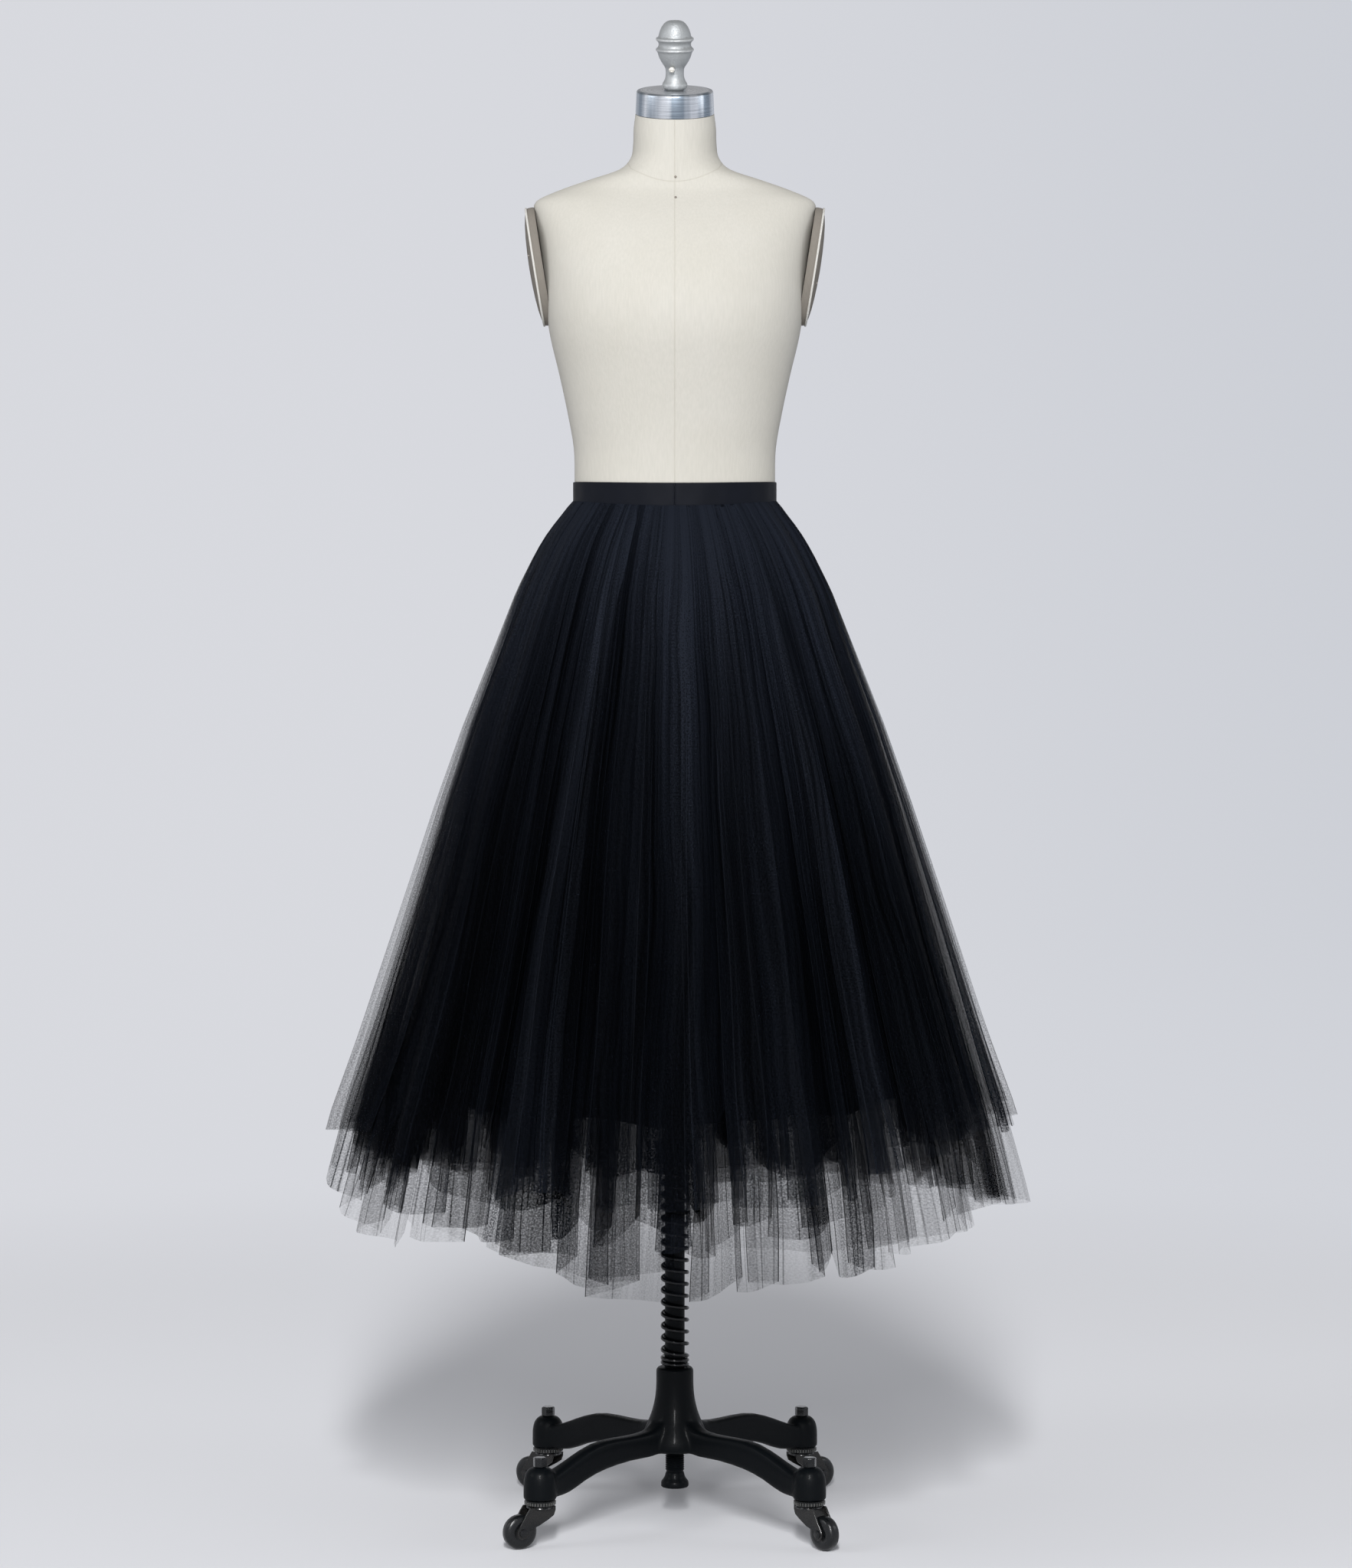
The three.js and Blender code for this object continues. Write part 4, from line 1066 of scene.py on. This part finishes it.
def grown_piece(name, tree, values):
    """Grows geometry from a tree with these input values, as a plain mesh object."""
    piece = bpy.data.objects.new(name, bpy.data.meshes.new(name))
    scene.collection.objects.link(piece)
    grower = piece.modifiers.new("grower", "NODES")
    grower.node_group = tree
    for item in tree.interface.items_tree:
        if item.in_out == "INPUT" and item.name in values:
            grower[item.identifier] = values[item.name]
    return baked(piece)


spring_tree, given, out = node_tree("coil_spring", [
    ("Wire Radius", "Float"), ("Coil Radius", "Float"), ("Bottom", "Float"), ("Top", "Float"),
    ("Turns", "Float"), ("Closed Low", "Float"), ("Closed High", "Float"),
    ("Steel", "Material")])


def sums(operation, *values):
    """One sum in the spring's tree."""
    return maths(spring_tree, operation, *values)


spiral = add_node(spring_tree, "GeometryNodeCurveSpiral",
                  {"Resolution": 36, "Rotations": given["Turns"], "Height": 1.0,
                   "Start Radius": given["Coil Radius"], "End Radius": given["Coil Radius"],
                   "Reverse": False})
at = add_node(spring_tree, "GeometryNodeInputPosition")
axes = axes_of(spring_tree, at.outputs["Position"])
wound = sums("MULTIPLY", axes["Z"], given["Turns"])
wire = sums("MULTIPLY", given["Wire Radius"], 2.05)
both_ends = sums("ADD", given["Closed Low"], given["Closed High"])
open_turns = sums("SUBTRACT", given["Turns"], both_ends)
past_low = sums("SUBTRACT", wound, given["Closed Low"])
wound_low = sums("MINIMUM", wound, given["Closed Low"])
wound_open = sums("MINIMUM", sums("MAXIMUM", past_low, 0.0), open_turns)
wound_high = sums("MAXIMUM", sums("SUBTRACT", past_low, open_turns), 0.0)
tall = sums("SUBTRACT", given["Top"], given["Bottom"])
wires = sums("MULTIPLY", wire, sums("ADD", both_ends, 1.0))
pitch = sums("DIVIDE", sums("SUBTRACT", tall, wires), open_turns)
closed = sums("MULTIPLY", sums("ADD", wound_low, wound_high), wire)
start = sums("ADD", given["Bottom"], given["Wire Radius"])
rise = sums("MULTIPLY_ADD", wound_open, pitch, sums("ADD", closed, start))
moved = add_node(spring_tree, "ShaderNodeCombineXYZ", {"X": axes["X"], "Y": axes["Y"], "Z": rise})
wound_curve = add_node(spring_tree, "GeometryNodeSetPosition",
                       {"Geometry": spiral.outputs["Curve"], "Position": moved.outputs["Vector"]})
wire_round = add_node(spring_tree, "GeometryNodeCurvePrimitiveCircle",
                      {"Resolution": 12, "Radius": given["Wire Radius"]})
coil = add_node(spring_tree, "GeometryNodeCurveToMesh",
                {"Curve": wound_curve.outputs["Geometry"],
                 "Profile Curve": wire_round.outputs["Curve"], "Fill Caps": True})
put_out(spring_tree, coil.outputs["Mesh"], given["Steel"], out)
spring_low, spring_high = 0.1823, 0.4260
spring = grown_piece("coil_spring", spring_tree, {
    "Wire Radius": 0.0026, "Coil Radius": 0.0146, "Bottom": spring_low, "Top": spring_high,
    "Turns": 18.4, "Closed Low": 2.0, "Closed High": 0.7, "Steel": black_steel})
spring.data.shade_smooth()
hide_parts("spring")
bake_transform(spring)


# ---- Cast base -----------------------------------------------------------------------
# One iron casting: a hub that guides the pole, and four arched legs with domed ends over
# the casters, in black enamel that is rubbed and chipped along the edges.
caster_reach = 0.2206   # from the pole's axis to each caster's
hub_profile = [(0.0, 0.083), (0.0345, 0.083), (0.0385, 0.0840), (0.0408, 0.0866), (0.0414, 0.0905),
               (0.0406, 0.0960), (0.0388, 0.1015), (0.0362, 0.1075), (0.0332, 0.1140),
               (0.0303, 0.1210), (0.0276, 0.1285), (0.0254, 0.1365), (0.0237, 0.1450),
               (0.0227, 0.1540), (0.0222, 0.1640), (0.0222, 0.1792), (0.0214, 0.1808),
               (0.0202, 0.1820), (0.0, 0.1820)]
dome_profile = [(0.0, 0.0555), (0.0186, 0.0555), (0.0193, 0.0562), (0.0194, 0.0600),
                (0.0192, 0.0760), (0.0184, 0.0815), (0.0166, 0.0866), (0.0138, 0.0902),
                (0.0105, 0.0924), (0.0090, 0.0930), (0.0, 0.0930)]
# Outwards from the hub: the upper and lower edge of a leg, and half its width.
leg_edges = row_table(("reach", "top", "bottom", "half"), [
    (0.0080, 0.1480, 0.0830, 0.0140), (0.0180, 0.1340, 0.0830, 0.0140),
    (0.0240, 0.1260, 0.0830, 0.0140), (0.0330, 0.1175, 0.0825, 0.0136),
    (0.0400, 0.1134, 0.0815, 0.0128), (0.0480, 0.1110, 0.0805, 0.0118),
    (0.0640, 0.1096, 0.0802, 0.0108), (0.0800, 0.1095, 0.0800, 0.0104),
    (0.1000, 0.1100, 0.0785, 0.0102), (0.1200, 0.1096, 0.0760, 0.0102),
    (0.1360, 0.1074, 0.0727, 0.0102), (0.1520, 0.1030, 0.0680, 0.0102),
    (0.1660, 0.0980, 0.0625, 0.0102), (0.1800, 0.0925, 0.0578, 0.0106),
    (0.1920, 0.0880, 0.0560, 0.0114), (0.2050, 0.0840, 0.0556, 0.0130),
    (caster_reach, 0.0800, 0.0556, 0.0150)])


def leg_rings(turn):
    """Rings along a leg that points this way, outwards from the hub."""
    c, s = math.cos(turn), math.sin(turn)
    rings = []
    for edge in leg_edges:
        middle = (edge["top"] + edge["bottom"]) / 2
        half = (edge["top"] - edge["bottom"]) / 2
        ring = []
        for t in turns_round(32):
            across = edge["half"] * signed_power(math.cos(t), 0.5)
            up = middle + half * signed_power(math.sin(t), 0.5)
            ring.append((edge["reach"] * c - across * s, edge["reach"] * s + across * c, up))
        rings.append(ring)
    return rings


def joined_bodies(bodies):
    """The points and faces of several closed bodies, one after the other."""
    points, faces = [], []
    for body_points, body_faces in bodies:
        faces += [tuple(v + len(points) for v in face) for face in body_faces]
        points += body_points
    return points, faces


# Where each leg points, and which way its caster trails, in degrees.
corner_turns = {"rear_right": 45, "rear_left": 135, "front_left": 225, "front_right": 315}
trail_turns = {"rear_right": 33, "rear_left": 146, "front_left": 206, "front_right": 310}
bodies = [capped_rings(lathe_rings(hub_profile, 64))]
for turn in map(math.radians, corner_turns.values()):
    bodies.append(capped_rings(leg_rings(turn)))
    bodies.append(capped_rings(lathe_rings(dome_profile, 48, caster_reach * math.cos(turn),
                                           caster_reach * math.sin(turn))))
casting = mesh_piece("cast_base", *joined_bodies(bodies), black_enamel)
joined = casting.modifiers.new("joined", "REMESH")
joined.mode = "VOXEL"
joined.voxel_size = 0.0017
softened = casting.modifiers.new("softened", "SMOOTH")
softened.factor = 0.5
softened.iterations = 12
baked(casting)
hub_bore = capped_rings(lathe_rings([(bore_radius, 0.07), (bore_radius, 0.20)], 48))
cut_away(casting, [mesh_piece("hub_bore_cutter", *hub_bore, black_enamel)])
casting.data.shade_smooth()
casting.data.set_sharp_from_angle(angle=math.radians(50))
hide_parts("base_casting")
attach(casting, "base")


# ---- Casters -------------------------------------------------------------------------
# Under each dome a toothed race ring turns over a bent steel fork. Its wheel is hard black
# rubber on a riveted axle, and a hexagon bolt on top holds it all to the leg.
caster_steel = aged_finish("caster_steel", (0.0024, 0.0030, 0.0036), (0.18, 0.18, 0.17),
                           (0.008, 0.0075, 0.007), 0.24, 0.0, 900.0, 0.0001, 0.66, 0.80, 0.3, 0.25)
wheel_rubber = aged_finish("wheel_rubber", (0.0030, 0.0037, 0.0044), (0.03, 0.03, 0.03),
                           (0.010, 0.0098, 0.0095), 0.30, 0.0, 600.0, 0.0002, 0.60, 0.72, 0.2, 0.3)
trail, wheel_radius = 0.026, 0.020   # how far a wheel runs behind its caster's axis

teeth_tree, given, out = node_tree("race_teeth", [
    ("Teeth", "Int"), ("Ring Radius", "Float"), ("Tooth Size", "Vector"), ("Height", "Float"),
    ("Steel", "Material")])
circle = add_node(teeth_tree, "GeometryNodeMeshCircle",
                  {"Vertices": given["Teeth"], "Radius": given["Ring Radius"]})
tooth = add_node(teeth_tree, "GeometryNodeMeshCube", {"Size": given["Tooth Size"]})
at = add_node(teeth_tree, "GeometryNodeInputPosition")
facing = add_node(teeth_tree, "FunctionNodeAlignRotationToVector",
                  {"Vector": at.outputs["Position"]}, axis="X")
teeth = add_node(teeth_tree, "GeometryNodeInstanceOnPoints",
                 {"Points": circle.outputs["Mesh"], "Instance": tooth.outputs["Mesh"],
                  "Rotation": facing.outputs["Rotation"]})
lift = add_node(teeth_tree, "ShaderNodeCombineXYZ", {"Z": given["Height"]})
lifted = add_node(teeth_tree, "GeometryNodeTransform",
                  {"Geometry": teeth.outputs["Instances"], "Translation": lift.outputs["Vector"]})
put_out(teeth_tree, lifted.outputs["Geometry"], given["Steel"], out)

race_profile = [(0.0, 0.0488), (0.0160, 0.0488), (0.0166, 0.0492), (0.0172, 0.0500),
                (0.0172, 0.0538), (0.0176, 0.0542), (0.0176, 0.0549), (0.0170, 0.0552),
                (0.0, 0.0552)]
bolt_profile = [(0.0, 0.0), (0.0076, 0.0), (0.0082, 0.0006), (0.0082, 0.0094), (0.0079, 0.0102),
                (0.0068, 0.0110), (0.0, 0.0110)]
fork_plate_profile = [(0.0, 0.0455), (0.0152, 0.0455), (0.0160, 0.0459), (0.0164, 0.0466),
                      (0.0160, 0.0478), (0.0154, 0.0485), (0.0, 0.0485)]
tread_profile = [(0.0033, -0.0085), (0.0060, -0.0085), (0.0066, -0.0080), (0.0092, -0.0080),
                 (0.0100, -0.0085), (0.0145, -0.0080), (0.0172, -0.0071), (0.0189, -0.0056),
                 (0.0198, -0.0036), (0.0200, -0.0014), (0.0200, 0.0014), (0.0198, 0.0036),
                 (0.0189, 0.0056), (0.0172, 0.0071), (0.0145, 0.0080), (0.0100, 0.0085),
                 (0.0092, 0.0080), (0.0066, 0.0080), (0.0060, 0.0085), (0.0033, 0.0085)]
axle_profile = [(0.0, -0.0132), (0.0026, -0.0132), (0.0044, -0.0126), (0.0048, -0.0117),
                (0.0048, -0.0113), (0.0030, -0.0113), (0.0030, 0.0113), (0.0048, 0.0113),
                (0.0048, 0.0117), (0.0044, 0.0126), (0.0026, 0.0132), (0.0, 0.0132)]


def cheek_outline():
    """A cheek's outline in the fork's own plane: along the trail, and over the floor."""
    outline = [(-0.0128, 0.0380), (-0.0150, 0.0440), (-0.0150, 0.0484), (0.0170, 0.0484),
               (0.0200, 0.0440), (0.0262, 0.0340)]
    for turn in np.linspace(35, -200, 16):
        outline.append((trail + 0.0075 * math.cos(math.radians(turn)),
                        wheel_radius + 0.0075 * math.sin(math.radians(turn))))
    outline += [(0.0060, 0.0270), (-0.0060, 0.0335)]
    return outline[::-1]


def plate_rings(outline, low, high, round_over):
    """Rings for a flat plate that stands on edge, with slightly rounded rims."""
    middle = np.mean(outline, axis=0)
    rings = []
    for y, shrink in ((low, round_over), (low + round_over, 0.0), (high - round_over, 0.0),
                      (high, round_over)):
        ring = []
        for p in outline:
            toward = middle - np.array(p)
            p = np.array(p) + toward / np.linalg.norm(toward) * shrink
            ring.append((p[0], y, p[1]))
        rings.append(ring)
    return rings


def joined_piece(name, bodies, finish, place):
    """One piece from several closed bodies, moved to its place."""
    piece = mesh_piece(name, *joined_bodies(bodies), finish)
    piece.data.transform(place)
    piece.data.set_sharp_from_angle(angle=math.radians(40))
    return piece


def laid_over(rings):
    """Turns rings made round Z so that they run round Y."""
    return [[(x, z, -y) for x, y, z in ring] for ring in rings]


for corner, turn in corner_turns.items():
    turn = math.radians(turn)
    caster_place = Matrix.Translation((caster_reach * math.cos(turn),
                                       caster_reach * math.sin(turn), 0))
    swivel_place = caster_place @ Matrix.Rotation(math.radians(trail_turns[corner]), 4, "Z")
    wheel_place = swivel_place @ Matrix.Translation((trail, 0, wheel_radius))

    bolt_place = caster_place @ Matrix.Translation((0, 0, 0.0933)) @ Matrix.Rotation(turn, 4, "Z")
    bolt = turned_piece(f"hexagon_bolt_{corner}", bolt_profile, caster_steel, 6, bolt_place)
    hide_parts(f"caster_bolt_{corner}")
    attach(bolt, "base")

    race = turned_piece(f"race_ring_{corner}", race_profile, caster_steel, 48, caster_place)
    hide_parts(f"caster_race_{corner}")
    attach(race, "base")
    toothed = grown_piece(f"race_teeth_{corner}", teeth_tree, {
        "Teeth": 34, "Ring Radius": 0.0173, "Tooth Size": (0.0022, 0.0017, 0.0034),
        "Height": 0.0519, "Steel": caster_steel})
    toothed.data.transform(caster_place)
    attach(toothed, "base")

    outline = cheek_outline()
    bridge = [(-0.0150, 0.0455), (0.0120, 0.0455), (0.0120, 0.0484), (-0.0150, 0.0484)][::-1]
    parts = [capped_rings(lathe_rings(fork_plate_profile, 48)),
             capped_rings(plate_rings(outline, 0.0091, 0.0113, 0.0005)),
             capped_rings(plate_rings(outline, -0.0113, -0.0091, 0.0005)),
             capped_rings(plate_rings(bridge, -0.0105, 0.0105, 0.0004)),
             capped_rings([[(x + trail, y, z + wheel_radius) for x, y, z in ring]
                           for ring in laid_over(lathe_rings(axle_profile, 28))])]
    fork = joined_piece(f"steel_fork_{corner}", parts, caster_steel, swivel_place)
    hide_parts(f"caster_fork_{corner}")
    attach(fork, f"fork_{corner}")

    wheel = joined_piece(f"rubber_wheel_{corner}",
                         [capped_rings(laid_over(lathe_rings(tread_profile, 72)))],
                         wheel_rubber, wheel_place)
    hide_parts(f"caster_wheel_{corner}")
    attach(wheel, f"wheel_{corner}")


low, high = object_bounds()
